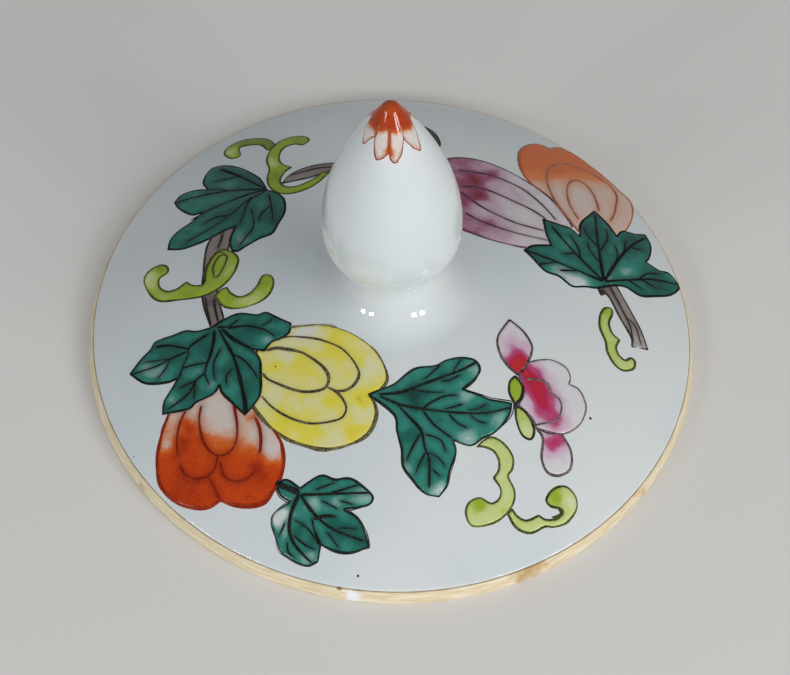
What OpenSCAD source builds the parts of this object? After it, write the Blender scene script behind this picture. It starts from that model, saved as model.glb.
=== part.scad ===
// Porcelain lid of a covered tea bowl (gaiwan): a shallow dome standing on its bare
// rim, a tall bud-shaped finial, and raised overglaze enamels of melons on the vine.
// Millimetres, +Z up. The origin is the centre of the ring that the rim rests on.
// The painted front, with the most melons, faces -Y.

/* [Lid] */
// Outer diameter of the rim at the resting plane
lid_d = 100; // [98:0.5:104]
// Height of the bare rim band
rim_h = 2.4; // [1.8:0.1:2.8]
// How far the rim band leans inwards from bottom to top
rim_taper = 0.7; // [0.2:0.1:1]
// Width of the flat ring under the rim
foot_w = 3; // [2.5:0.1:3.5]
// Height of the glazed dome above the resting plane, without the finial
dome_h = 13.5; // [13:0.1:14.5]
// Radius of the sphere that the outside of the dome is part of
dome_r = 115; // [113:1:118]
// Thickness of the body at the crown
wall = 3; // [2.4:0.1:3.4]

/* [Finial] */
// Diameter of the neck under the bud
neck_d = 13; // [12:0.2:15]
// Radius of the hollow curve between neck and dome
fillet_r = 7.5; // [6:0.5:8]
// Largest diameter of the bud
bud_d = 21.6; // [21:0.2:23]
// Height of the widest part of the bud above the resting plane
bud_z = 28.6; // [28:0.2:30]
// How far the finial leans towards -X, in degrees
lean = 2.4; // [0:0.2:4]

/* [Coats] */
// Thickness of the clear glaze on the outside
glaze_t = 0.25; // [0.2:0.05:0.3]
// Thickness of the clear glaze on the underside
under_glaze_t = 0.2; // [0.15:0.05:0.3]
// Thickness of the raised enamels
enamel_t = 0.15; // [0.1:0.05:0.2]

/* [Hidden] */
$fn = 180;
rim_r = lid_d / 2;
rim_top_r = rim_r - rim_taper;
foot_r = rim_r - foot_w;
foot_chamfer = 0.3;
// the glaze is wiped back a little from the edge of the rim
glaze_edge_r = rim_top_r - 0.3;
under_edge_r = foot_r - 0.5;

// centres of the spheres, on the axis
dome_c = dome_h - dome_r;
hollow_h = dome_h - glaze_t - wall;
hollow_r = (foot_r * foot_r + hollow_h * hollow_h) / (2 * hollow_h);
hollow_c = hollow_h - hollow_r;

// hollow curve of the neck, tangent to the glazed dome and to the neck; it is cut out of
// a block that reaches into the crown and past the foot of the bud
neck_r = neck_d / 2;
fillet_x = neck_r + fillet_r;
fillet_z = sqrt(pow(dome_r + fillet_r, 2) - pow(fillet_x, 2)) + dome_c;
fillet_edge_r = fillet_x * dome_r / (dome_r + fillet_r);
neck_low = dome_h - 4;
// the bud leans about this height on the axis, so its foot sits a little to -X too
lean_z = 4;

// bud: three arcs, each tangent to the next, and a round tip
bud_r = bud_d / 2;
belly_r = 10;
bud_foot_z = bud_z - sqrt(pow(belly_r, 2) - pow(belly_r - bud_r + neck_r, 2));
shoulder_r = 33;
shoulder_a = 20;
cone_r = 66;
tip_a = 34.5;
shoulder_z = bud_z + shoulder_r * sin(shoulder_a);
shoulder_x = bud_r - shoulder_r * (1 - cos(shoulder_a));
cone_x = shoulder_x - cone_r * cos(shoulder_a);
cone_z = shoulder_z - cone_r * sin(shoulder_a);
tip_start_x = cone_x + cone_r * cos(tip_a);
tip_start_z = cone_z + cone_r * sin(tip_a);
tip_r = tip_start_x / cos(tip_a);
tip_z = tip_start_z - tip_r * sin(tip_a);
bud_top = tip_z + tip_r;
neck_high = bud_foot_z + 2;

// red cap of petals painted on the tip of the bud
petal_count = 9;
petal_r = 5.1;
petal_gap_r = 3.4;
petal_turn = 11;
petal_low_z = bud_top - 16;

// overlap of neighbouring arcs, which all touch there
lap = 0.02;
spline_steps = 4;
above = 80;

// ---------------------------------------------------------------- outlines
// Each outline is a closed list of [x, y] seen from above. The curve runs smoothly
// through its points, and [x, y, 1] is a sharp corner.

yellow_melon_line = [
    [-16, -9.2], [-14, -8.8], [-11.4, -8.6], [-8, -9.3], [-5, -10.7], [-2.4, -13.1], [-0.8, -15.6],
    [-0.4, -18], [-1.6, -19.8], [-3, -20.5, 1], [-2, -21.8], [-1.7, -24], [-2.8, -26.7],
    [-5.5, -28.5], [-9, -29.3], [-13, -28.5], [-16.5, -26.8], [-19.5, -24.2], [-21, -22, 1],
    [-21, -13, 1], [-18.6, -10.8]
];
orange_melon_line = [
    [-33.8, -22, 1], [-34.6, -25], [-35.1, -28.5], [-34.8, -31.8], [-33.6, -34.6], [-31.3, -36.6],
    [-28.6, -37.6], [-26.3, -37.7], [-24.4, -36.7, 1], [-22.6, -37.4], [-20, -37.8], [-17.6, -37.3],
    [-16.3, -35.4], [-15.4, -33.5], [-15.2, -31], [-15.7, -28.6], [-16.8, -26.7, 1],
    [-20, -22, 1], [-24, -18, 1], [-29, -18, 1]
];
purple_melon_line = [
    [29.2, 17.4, 1], [28.2, 19.6], [25.2, 23.8], [21, 27.2], [17, 29.5], [13, 30.8], [9.4, 30.7],
    [6, 29], [4, 26], [4, 23.4], [5.4, 21.6, 1], [4.6, 18.6], [6, 15.4], [9, 13], [13, 11.5],
    [17, 10.6], [21.5, 10.4], [25.5, 12, 1]
];
salmon_melon_line = [
    [30.4, 16.5, 1], [26.6, 22], [22, 26.8], [20.4, 29.8], [20, 33], [20.4, 36], [21.8, 38.2],
    [23.8, 39.3], [26, 38.7, 1], [27.6, 39.7], [29.8, 39], [32, 37.3], [35.2, 34.3], [38, 31.2],
    [40, 28.9], [40.4, 26], [39.8, 22.8], [38.6, 20], [37, 16.5, 1]
];

leaf_north_west_line = [
    [-24, 23.5], [-25.5, 25.2], [-28, 27.3], [-31, 28.5], [-33, 28.3, 1], [-33.9, 26.5],
    [-34, 24.2], [-33, 22.3, 1], [-35.5, 22.5], [-37.6, 21.8], [-38.5, 20.2, 1], [-37.5, 18.4],
    [-35, 16.2], [-33.2, 16.5, 1], [-34.6, 14.6], [-36.6, 12.9], [-37.9, 11], [-38, 8.8, 1],
    [-35.5, 8.4], [-33, 9.2], [-30.8, 10.2, 1], [-29, 11.4], [-27, 12.2, 1], [-27.6, 9.5],
    [-27.2, 7.2], [-26.2, 6.6], [-24.8, 7.6], [-22.8, 9], [-20.8, 10], [-20, 12], [-19.1, 15],
    [-19.5, 18], [-21, 19.8], [-22.6, 20.6, 1]
];
leaf_west_line = [
    [-28.7, -8.3, 1], [-27, -7.2], [-24.6, -6.1], [-21.6, -6.5], [-20.2, -6.1], [-18.4, -7.1],
    [-16, -8.3, 1], [-16.2, -10], [-17.6, -11.1], [-18.8, -11.6], [-19.8, -13.1, 1], [-21.8, -12.8, 1],
    [-20.4, -14.6], [-20, -17], [-19.8, -20.4], [-20.8, -22.4], [-21.9, -23.8, 1], [-24, -21.8],
    [-25.8, -20], [-26.4, -18.5, 1], [-27.2, -20], [-29.8, -21.2], [-31, -22.2], [-35, -22.7, 1],
    [-35, -20.6], [-34, -18.6], [-33.2, -16.9, 1], [-35, -17.4], [-38.5, -17], [-41.2, -15, 1],
    [-39.6, -12.6], [-38.4, -11.2], [-37.6, -9.8], [-35, -9.1], [-33, -8.5], [-31, -8.8]
];
leaf_south_line = [
    [-15.9, -34.2, 1], [-14.4, -34], [-12.4, -35.1, 1], [-10.8, -33.9], [-9.2, -33.2], [-7.4, -33.8],
    [-5.5, -33.5], [-4, -33.9], [-1.8, -35.5], [-1.3, -36.4], [-2.2, -37.4], [-5.6, -38.1, 1],
    [-3.4, -39.3], [-2.2, -41.2], [-1.5, -43.2, 1], [-4.2, -44.2], [-6.8, -43.9], [-8.7, -43.1, 1],
    [-8.8, -44.2], [-9, -45.5, 1], [-10.4, -46.1], [-12.4, -45.6], [-14.6, -44.2], [-15.5, -42.4],
    [-16.4, -40.2], [-16, -38.7], [-13.6, -37.1, 1], [-15, -36.4], [-15.9, -35.2, 1]
];
leaf_centre_line = [
    [-3, -20.5, 1], [-1.3, -19.5], [0.8, -18.4], [2.6, -16.6], [4.2, -15.4], [7, -14.8],
    [8.8, -13.6], [11, -12.9], [13.2, -13], [14.1, -14.4], [13.4, -16.2], [11.4, -18.3, 1],
    [14, -18.9], [16, -19.4], [19.2, -19.5, 1], [18.8, -21.6], [16.8, -24.4], [14.8, -25.7],
    [13, -27.1], [10.3, -26.6, 1], [10.8, -28.4], [10, -31.4], [9.7, -33.6], [8.6, -35.3, 1],
    [6.6, -35], [4.6, -33.3], [3, -31.4], [2.6, -28.6], [1.7, -26], [1.4, -24], [0.2, -22.7]
];
leaf_east_line = [
    [20.8, 9.8, 1], [22.4, 11.1], [25.4, 12, 1], [24.6, 14.4], [24.1, 17.8, 1], [26.5, 17.4],
    [28.8, 17], [30.4, 15.6, 1], [30.7, 19], [33.2, 22.9, 1], [35.2, 20.8], [37, 18, 1],
    [38.2, 19.8], [40.4, 20.1], [42.3, 20.7, 1], [43.1, 18.4], [42.8, 15.6], [42, 13.9, 1],
    [44.4, 12.9], [46, 13.1], [47.4, 11.8], [47.8, 10.2], [46, 8], [43, 6.6], [40.6, 5.9],
    [38.2, 6.8], [36.4, 6.6, 1], [34.6, 5.7], [33, 4.9], [31, 4.6], [28.8, 4.1], [26.6, 5.6],
    [24.2, 6.2], [22, 8.6]
];
leaf_behind_line = [
    [-5, 24.5, 1], [-7.6, 26], [-9.4, 29.5, 1], [-6.8, 29.6], [-6.4, 33], [-3.6, 36.4, 1],
    [-1.4, 36.2], [0.4, 38.8], [2.8, 40, 1], [4.8, 38.3], [6, 35.8], [6.2, 33.6], [4.4, 31.4, 1],
    [2.4, 29.4], [0.4, 25.2], [-2.4, 24.6]
];

branch_north_west_line = [
    [-20.3, 22, 1], [-19, 24.4], [-16, 26.3], [-12, 27.2], [-8, 26.6], [-3, 24.6], [3.2, 23.4, 1],
    [5.2, 21.9, 1], [2.6, 21.6], [-3.4, 22.6], [-8, 24.4], [-12, 24.9], [-16, 23.2]
];
branch_west_line = [
    [-30.9, 10.2, 1], [-31.5, 7.4], [-31.3, 2], [-31, -2], [-30.2, -5], [-28.8, -8.3, 1],
    [-26.8, -7.3, 1], [-27.6, -4.8], [-28.6, -1.4], [-28.4, 3], [-27.8, 7], [-27.2, 12.1, 1],
    [-29, 11.4]
];
branch_east_line = [
    [33.2, 5, 1], [33.7, 3.7, 1], [34.9, 3.9], [37, -0.2], [38.7, -3.2], [38.8, -5, 1],
    [41.6, -4.7, 1], [40.4, -1.2], [38.2, 3.1], [36.4, 6.6, 1], [34.6, 5.7]
];

tendril_north_west_line = [
    [-16.6, 34.3], [-17.6, 35.5], [-19.6, 35.6], [-21.8, 34.4], [-23.2, 31.6], [-23.5, 28.8],
    [-22.8, 26.2], [-22.9, 23.4], [-22, 20.9], [-20, 19.4], [-17.2, 19.7], [-14.4, 21.6],
    [-12.4, 24.6, 1], [-13.6, 24.6, 1], [-15.6, 22.4], [-18, 21.1], [-19.8, 21.4], [-20.6, 23],
    [-20, 25.2], [-19, 26.3, 1], [-20.8, 27.6], [-21.4, 29.8], [-20.8, 32.2], [-19.2, 33.2],
    [-17.6, 32.9]
];
tendril_north_west_curl_line = [
    [-22.4, 31.4, 1], [-22.4, 33.4, 1], [-24, 35.4], [-26.6, 36.1], [-29, 35.7], [-31, 34],
    [-31.3, 32], [-29.9, 30.4], [-28.4, 31], [-28.8, 33.4], [-27, 34], [-25, 33.6], [-23.8, 32, 1]
];
tendril_west_line = [
    [-39.2, 5.5], [-37.8, 5], [-37.5, 3.7], [-38.7, 2.6], [-38.4, 0.8], [-37, -0.3], [-35.4, -0.1],
    [-34, 1.1, 1], [-32.6, 0.2], [-31, 0.4], [-31, 3.4], [-30, 6.2], [-28.6, 7.2], [-26.8, 6.3],
    [-25.8, 4.6], [-26.4, 1.6], [-28, -0.6], [-30, -1.8], [-32, -2.3], [-35, -2.3], [-38, -2],
    [-40, -0.2], [-41.3, 2.6], [-40.8, 4.5]
];
tendril_west_hook_line = [
    [-27.1, -0.8, 1], [-26.3, -2], [-24.8, -2.9], [-23.2, -2.3], [-22.1, -0.8], [-21.4, 1.1],
    [-20.1, 1], [-19.5, -0.4], [-20, -2.6], [-21.6, -4.2], [-24.4, -5.1], [-27, -4.6],
    [-28.8, -2.4, 1], [-28, -1.2]
];
tendril_south_line = [
    [14, -27.2, 1], [15, -26.1], [16.4, -25.4], [18.2, -26.2], [19.6, -28], [19.6, -29.8],
    [19, -31], [20, -32.8], [20.1, -34.4], [19.2, -36.3], [17.2, -38.1], [14, -39], [12.8, -37.4],
    [13.2, -35.7], [14.8, -34.8], [16.6, -35.4], [17.8, -34.5], [17.9, -33], [16.8, -31.6, 1],
    [17.5, -30.4], [17.5, -28.8], [16.6, -27.5], [15.2, -27.1]
];
tendril_south_curl_line = [
    [19.8, -35.8, 1], [20.8, -36.8], [22.2, -37.1], [24, -36.1, 1], [25, -36.5], [26.6, -36.2],
    [27.7, -35.1], [27.2, -34.5], [25.8, -34.4], [25.1, -33.6], [25.8, -32.2], [27, -31.3],
    [28.4, -31.2], [29.7, -32.4], [29.8, -34.2], [28.4, -36.3], [26.4, -37.3], [25, -37.5],
    [22.8, -38.8], [20.6, -38.4], [19.2, -36.6, 1]
];
tendril_east_line = [
    [35.4, 1.4], [34.2, 1.1], [33.4, -0.8], [33.4, -3], [34.3, -5.3], [34.6, -7.2], [35.8, -9.2],
    [37.3, -9.9], [39, -9.1], [39.3, -7.7], [38.6, -7.2], [37.6, -7.9], [36.5, -7.2], [36.1, -5.8],
    [36.7, -4.4, 1], [35.5, -3.4], [35, -1.6], [35.6, 0.4]
];

flower_upper_petal_line = [
    [18.5, -4.9, 1], [20.8, -6.7], [22.2, -9.2], [21.6, -12], [20.2, -14.6, 1], [18.4, -13.2],
    [17.1, -11.2], [16.7, -8.4]
];
flower_main_petals_line = [
    [20.2, -14.6, 1], [21.6, -12.2], [25, -10.9], [27.6, -11.6], [28.5, -13.2], [28.3, -14.5, 1],
    [30, -15.2], [31.1, -17.8], [30.4, -20.4], [28.8, -22.2], [26.8, -23.1], [23.2, -22.9, 1],
    [22.4, -21.2], [20.3, -19.6, 1], [21.1, -17.2]
];
flower_lower_petal_line = [
    [23.2, -22.9, 1], [24.2, -24.4], [24.1, -27.4], [25, -29.4], [26.8, -29.7], [28.7, -28.3],
    [28.8, -25.6], [27.2, -22.9, 1], [25.2, -23.3]
];
sepal_upper_line = [
    [19.6, -14.8, 1], [20.8, -16.4], [20.7, -18.2], [19.8, -19.6, 1], [18.8, -17.8], [18.8, -16]
];
sepal_lower_line = [
    [19.8, -19.7, 1], [21.6, -20.8], [22.8, -23], [22.4, -24.7], [21, -24.3], [20, -22]
];

// ---------------------------------------------------------------- curve helpers

// whether point p is a sharp corner
function is_corner(p) = len(p) > 2;

// direction in which the curve passes point p, between its neighbours a and b
function slope(a, p, b, other) = is_corner(p) ? xy(other) - xy(p) : (xy(b) - xy(a)) / 2;

function xy(p) = [p[0], p[1]];

// point on the cubic from p to q with end directions u and v
function cubic(p, u, q, v, t) =
    p * (2 * t * t * t - 3 * t * t + 1) + u * (t * t * t - 2 * t * t + t)
    + q * (3 * t * t - 2 * t * t * t) + v * (t * t * t - t * t);

// smooth closed curve through the points of an outline
function smooth(line) = [
    for (i = [0 : len(line) - 1])
        let (
            n = len(line),
            a = line[(i + n - 1) % n],
            p = line[i],
            q = line[(i + 1) % n],
            b = line[(i + 2) % n],
            u = slope(a, p, q, q),
            v = is_corner(q) ? xy(q) - xy(p) : (xy(b) - xy(p)) / 2
        )
        for (k = [0 : spline_steps - 1]) cubic(xy(p), u, xy(q), v, k / spline_steps)
];

// ---------------------------------------------------------------- profiles

// half disc of a sphere, right of the axis
module half_disc(r, z) {
    intersection() {
        translate([0, z]) circle(r);
        translate([0, z - r - 1]) square([r + 1, 2 * r + 2]);
    }
}

// part of a 2D shape between two heights, right of the axis
module slice(low, high) {
    intersection() {
        children();
        translate([0, low]) square([rim_r + 10, high - low]);
    }
}

// bud outline grown by t, above height low
module bud_profile(t, low) {
    slice(low, bud_z + lap) translate([bud_r - belly_r, bud_z]) circle(belly_r + t);
    slice(bud_z, shoulder_z + lap) translate([bud_r - shoulder_r, bud_z]) circle(shoulder_r + t);
    slice(shoulder_z, tip_start_z) translate([cone_x, cone_z]) circle(cone_r + t);
    slice(tip_start_z - lap, bud_top + enamel_t) translate([0, tip_z]) circle(tip_r + t);
}

// neck between the dome and the bud, at the outside of the glaze grown by t
module neck_profile(t) {
    difference() {
        translate([0, neck_low]) square([fillet_edge_r, neck_high - neck_low]);
        translate([fillet_x, fillet_z]) circle(fillet_r - t);
        translate([neck_r + t, fillet_z]) square([fillet_x, neck_high - fillet_z + 1]);
        half_disc(dome_r - glaze_t, dome_c);
    }
}

// everything above the tilted plane that the bud stands on
module above_neck() {
    leaning() translate([-rim_r, -rim_r, bud_foot_z]) cube([lid_d, lid_d, above]);
}

// leans the finial as it was set on the dome
module leaning() {
    translate([0, 0, lean_z]) rotate([0, -lean, 0]) translate([0, 0, -lean_z]) children();
}

// ---------------------------------------------------------------- body

module dome_body() {
    color([0.9, 0.85, 0.74])
    rotate_extrude()
    difference() {
        intersection() {
            half_disc(dome_r - glaze_t, dome_c);
            polygon([
                [0, 0], [rim_r - foot_chamfer, 0], [rim_r, foot_chamfer],
                [rim_top_r, rim_h], [rim_top_r - 0.4, dome_h], [0, dome_h + 1]
            ]);
        }
        half_disc(hollow_r, hollow_c);
    }
}

module finial_neck() {
    color([0.9, 0.86, 0.78])
    difference() {
        rotate_extrude() neck_profile(-glaze_t);
        above_neck();
    }
}

module finial_bud() {
    color([0.9, 0.86, 0.78])
    leaning() rotate_extrude() bud_profile(-glaze_t, bud_foot_z);
}

// ---------------------------------------------------------------- glaze

module dome_glaze() {
    color([0.9, 0.93, 0.94])
    rotate_extrude()
    intersection() {
        difference() {
            half_disc(dome_r, dome_c);
            half_disc(dome_r - glaze_t, dome_c);
        }
        translate([fillet_edge_r, 0]) square([glaze_edge_r - fillet_edge_r, dome_h]);
    }
}

module neck_glaze() {
    color([0.9, 0.93, 0.94])
    difference() {
        rotate_extrude() difference() {
            neck_profile(0);
            neck_profile(-glaze_t);
        }
        above_neck();
    }
}

module bud_glaze() {
    color([0.9, 0.93, 0.94])
    leaning() rotate_extrude() difference() {
        bud_profile(0, bud_foot_z);
        bud_profile(-glaze_t, bud_foot_z);
    }
}

module underside_glaze() {
    color([0.9, 0.93, 0.94])
    rotate_extrude()
    intersection() {
        difference() {
            half_disc(hollow_r, hollow_c);
            half_disc(hollow_r - under_glaze_t, hollow_c);
        }
        square([under_edge_r, dome_h]);
    }
}

// ---------------------------------------------------------------- enamels

// a raised enamel on the dome, with the outline of its 2D children
module enamel() {
    intersection() {
        rotate_extrude() intersection() {
            difference() {
                half_disc(dome_r + enamel_t, dome_c);
                half_disc(dome_r, dome_c);
            }
            square([glaze_edge_r, dome_h + 1]);
        }
        linear_extrude(dome_h + 5) children();
    }
}

// the area inside an outline
module area(line) {
    polygon(smooth(line));
}

// the red petals that hang from the tip of the bud
module bud_tip_enamel() {
    color([0.78, 0.25, 0.13])
    leaning() intersection() {
        rotate_extrude() difference() {
            bud_profile(enamel_t, petal_low_z);
            bud_profile(0, petal_low_z);
        }
        linear_extrude(above) polygon([
            for (i = [0 : 2 * petal_count - 1])
                let (r = i % 2 == 0 ? petal_r : petal_gap_r, a = petal_turn + i * 180 / petal_count)
                [r * cos(a), r * sin(a)]
        ]);
    }
}

module yellow_melon() {
    color([0.88, 0.82, 0.3])
    enamel() difference() {
        area(yellow_melon_line);
        area(leaf_west_line);
        area(leaf_centre_line);
    }
}

module orange_melon() {
    color([0.82, 0.33, 0.16])
    enamel() difference() {
        area(orange_melon_line);
        area(leaf_west_line);
        area(yellow_melon_line);
        area(leaf_south_line);
    }
}

module purple_melon() {
    color([0.6, 0.3, 0.42])
    enamel() difference() {
        area(purple_melon_line);
        area(leaf_east_line);
    }
}

module salmon_melon() {
    color([0.85, 0.52, 0.38])
    enamel() difference() {
        area(salmon_melon_line);
        area(leaf_east_line);
        area(purple_melon_line);
    }
}

// a leaf in the blue-green of the set
module leaf(line) {
    color([0.1, 0.4, 0.38]) enamel() area(line);
}

module leaf_north_west() { leaf(leaf_north_west_line); }
module leaf_west() { leaf(leaf_west_line); }
module leaf_south() { leaf(leaf_south_line); }
module leaf_centre() { leaf(leaf_centre_line); }
module leaf_east() { leaf(leaf_east_line); }

module leaf_behind() {
    color([0.1, 0.4, 0.38])
    enamel() difference() {
        area(leaf_behind_line);
        area(branch_north_west_line);
    }
}

module branch_north_west() {
    color([0.45, 0.38, 0.4])
    enamel() difference() {
        area(branch_north_west_line);
        area(tendril_north_west_line);
        area(purple_melon_line);
    }
}

module branch_west() {
    color([0.45, 0.38, 0.4])
    enamel() difference() {
        area(branch_west_line);
        area(tendril_west_line);
        area(tendril_west_hook_line);
        area(leaf_north_west_line);
        area(leaf_west_line);
    }
}

module branch_east() {
    color([0.45, 0.38, 0.4])
    enamel() difference() {
        area(branch_east_line);
        area(leaf_east_line);
    }
}

// a tendril in yellow-green, without the areas given as children
module tendril(line) {
    color([0.62, 0.68, 0.2])
    enamel() difference() {
        area(line);
        children();
    }
}

module tendril_north_west() { tendril(tendril_north_west_line) area(leaf_north_west_line); }
module tendril_north_west_curl() { tendril(tendril_north_west_curl_line) area(tendril_north_west_line); }
module tendril_west() { tendril(tendril_west_line) area(leaf_north_west_line); }
module tendril_west_hook() { tendril(tendril_west_hook_line) area(tendril_west_line); }
module tendril_south() { tendril(tendril_south_line) area(leaf_centre_line); }
module tendril_south_curl() { tendril(tendril_south_curl_line) area(tendril_south_line); }
module tendril_east() { tendril(tendril_east_line) area(branch_east_line); }

// a petal of the flower, pink at its base
module petal(line) {
    color([0.86, 0.5, 0.62])
    enamel() difference() {
        area(line);
        children();
    }
}

module flower_upper_petal() { petal(flower_upper_petal_line) area(sepal_upper_line); }
module flower_main_petals() {
    petal(flower_main_petals_line) {
        area(flower_upper_petal_line);
        area(sepal_upper_line);
        area(sepal_lower_line);
    }
}
module flower_lower_petal() {
    petal(flower_lower_petal_line) {
        area(flower_main_petals_line);
        area(sepal_lower_line);
    }
}
module sepal_upper() { tendril(sepal_upper_line) area(leaf_centre_line); }
module sepal_lower() { tendril(sepal_lower_line) area(leaf_centre_line); }

// ---------------------------------------------------------------- nodes

dome_body();
finial_neck();
finial_bud();
dome_glaze();
neck_glaze();
bud_glaze();
underside_glaze();
bud_tip_enamel();
yellow_melon();
orange_melon();
purple_melon();
salmon_melon();
leaf_north_west();
leaf_west();
leaf_south();
leaf_centre();
leaf_east();
leaf_behind();
branch_north_west();
branch_west();
branch_east();
tendril_north_west();
tendril_north_west_curl();
tendril_west();
tendril_west_hook();
tendril_south();
tendril_south_curl();
tendril_east();
flower_upper_petal();
flower_main_petals();
flower_lower_petal();
sepal_upper();
sepal_lower();
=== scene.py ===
"""Looks of the porcelain tea bowl lid: glazed dome and bud, bare rim, raised enamels and ink lines.

Lengths of the lid are in millimetres, and MM turns them into metres where a mesh or a material is made.
The floor, the lights and the camera are in metres.
"""

import math

import bpy
import numpy as np
from mathutils import Matrix, Vector
from mathutils.geometry import delaunay_2d_cdt

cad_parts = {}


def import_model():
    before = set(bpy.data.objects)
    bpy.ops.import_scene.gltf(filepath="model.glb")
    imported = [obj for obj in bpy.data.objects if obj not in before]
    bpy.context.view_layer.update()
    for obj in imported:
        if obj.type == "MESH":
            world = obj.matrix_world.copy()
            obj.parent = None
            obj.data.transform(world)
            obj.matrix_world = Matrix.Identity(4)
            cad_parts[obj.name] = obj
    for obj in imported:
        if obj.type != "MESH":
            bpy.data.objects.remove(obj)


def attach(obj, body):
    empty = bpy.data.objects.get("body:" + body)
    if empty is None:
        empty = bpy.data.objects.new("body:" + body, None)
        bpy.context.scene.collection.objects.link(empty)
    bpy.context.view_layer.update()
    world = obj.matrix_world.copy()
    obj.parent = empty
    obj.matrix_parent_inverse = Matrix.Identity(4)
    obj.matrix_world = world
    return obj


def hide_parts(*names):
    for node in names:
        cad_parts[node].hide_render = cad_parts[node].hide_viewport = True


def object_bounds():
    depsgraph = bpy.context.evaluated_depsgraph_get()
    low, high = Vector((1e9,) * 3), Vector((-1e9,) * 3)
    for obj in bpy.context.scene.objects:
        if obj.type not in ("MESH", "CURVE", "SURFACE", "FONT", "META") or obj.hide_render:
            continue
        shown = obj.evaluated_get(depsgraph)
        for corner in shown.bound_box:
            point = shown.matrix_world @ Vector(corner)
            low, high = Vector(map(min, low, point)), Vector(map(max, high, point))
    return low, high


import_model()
cad_low, cad_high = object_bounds()
MM = 0.001

# ---------------------------------------------------------------- sizes, in mm

# from the frame
LID_R = (cad_high.x - cad_low.x) / 2 / MM

# rim, as in the part
RIM_H = 2.4
RIM_TOP_R = LID_R - 0.7
FOOT_R = LID_R - 3
GLAZE_EDGE_R = RIM_TOP_R - 0.3
UNDER_EDGE_R = FOOT_R - 0.5

# dome
DOME_H = 13.5
DOME_R = 115
DOME_C = DOME_H - DOME_R
GLAZE_T = 0.25
UNDER_T = 0.2
WALL = 3
HOLLOW_H = DOME_H - GLAZE_T - WALL
HOLLOW_R = (FOOT_R ** 2 + HOLLOW_H ** 2) / (2 * HOLLOW_H)
HOLLOW_C = HOLLOW_H - HOLLOW_R

# neck
NECK_R = 6.5
FILLET_R = 7.5
FILLET_X = NECK_R + FILLET_R
FILLET_Z = math.sqrt((DOME_R + FILLET_R) ** 2 - FILLET_X ** 2) + DOME_C
FILLET_EDGE_R = FILLET_X * DOME_R / (DOME_R + FILLET_R)
FILLET_EDGE_Z = DOME_C + (FILLET_Z - DOME_C) * DOME_R / (DOME_R + FILLET_R)

# bud: belly, shoulder and cone are arcs that touch, and the tip is round
BUD_R = 10.8
BUD_Z = 28.6
BELLY_R = 10
BUD_FOOT_Z = BUD_Z - math.sqrt(BELLY_R ** 2 - (BELLY_R - BUD_R + NECK_R) ** 2)
SHOULDER_R = 33
SHOULDER_A = math.radians(20)
CONE_R = 66
TIP_A = math.radians(34.5)
SHOULDER_X = BUD_R - SHOULDER_R * (1 - math.cos(SHOULDER_A))
SHOULDER_Z = BUD_Z + SHOULDER_R * math.sin(SHOULDER_A)
CONE_X = SHOULDER_X - CONE_R * math.cos(SHOULDER_A)
CONE_Z = SHOULDER_Z - CONE_R * math.sin(SHOULDER_A)
TIP_X = CONE_X + CONE_R * math.cos(TIP_A)
TIP_R = TIP_X / math.cos(TIP_A)
TIP_Z = CONE_Z + CONE_R * math.sin(TIP_A) - TIP_R * math.sin(TIP_A)

# the finial leans towards -X about this height
LEAN = math.radians(2.4)
LEAN_Z = 4

# the clay under the glaze keeps this far from it, so that no two surfaces meet
GAP = 0.02

# raised enamel and ink, and how deep their undersides lie in the glaze
ENAMEL_T = 0.15
INK_T = 0.03
SINK = 0.03

# ---------------------------------------------------------------- outlines and ink lines
# Points are [x, y] seen from above, and [x, y, 1] is a sharp corner, as in part.scad.

YELLOW_MELON = [
    [-16, -9.2], [-14, -8.8], [-11.4, -8.6], [-8, -9.3], [-5, -10.7], [-2.4, -13.1], [-0.8, -15.6],
    [-0.4, -18], [-1.6, -19.8], [-3, -20.5, 1], [-2, -21.8], [-1.7, -24], [-2.8, -26.7],
    [-5.5, -28.5], [-9, -29.3], [-13, -28.5], [-16.5, -26.8], [-19.5, -24.2], [-21, -22, 1],
    [-21, -13, 1], [-18.6, -10.8],
]
ORANGE_MELON = [
    [-33.8, -22, 1], [-34.6, -25], [-35.1, -28.5], [-34.8, -31.8], [-33.6, -34.6], [-31.3, -36.6],
    [-28.6, -37.6], [-26.3, -37.7], [-24.4, -36.7, 1], [-22.6, -37.4], [-20, -37.8], [-17.6, -37.3],
    [-16.3, -35.4], [-15.4, -33.5], [-15.2, -31], [-15.7, -28.6], [-16.8, -26.7, 1],
    [-20, -22, 1], [-24, -18, 1], [-29, -18, 1],
]
PURPLE_MELON = [
    [29.2, 17.4, 1], [28.2, 19.6], [25.2, 23.8], [21, 27.2], [17, 29.5], [13, 30.8], [9.4, 30.7],
    [6, 29], [4, 26], [4, 23.4], [5.4, 21.6, 1], [4.6, 18.6], [6, 15.4], [9, 13], [13, 11.5],
    [17, 10.6], [21.5, 10.4], [25.5, 12, 1],
]
SALMON_MELON = [
    [30.4, 16.5, 1], [26.6, 22], [22, 26.8], [20.4, 29.8], [20, 33], [20.4, 36], [21.8, 38.2],
    [23.8, 39.3], [26, 38.7, 1], [27.6, 39.7], [29.8, 39], [32, 37.3], [35.2, 34.3], [38, 31.2],
    [40, 28.9], [40.4, 26], [39.8, 22.8], [38.6, 20], [37, 16.5, 1],
]
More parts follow.
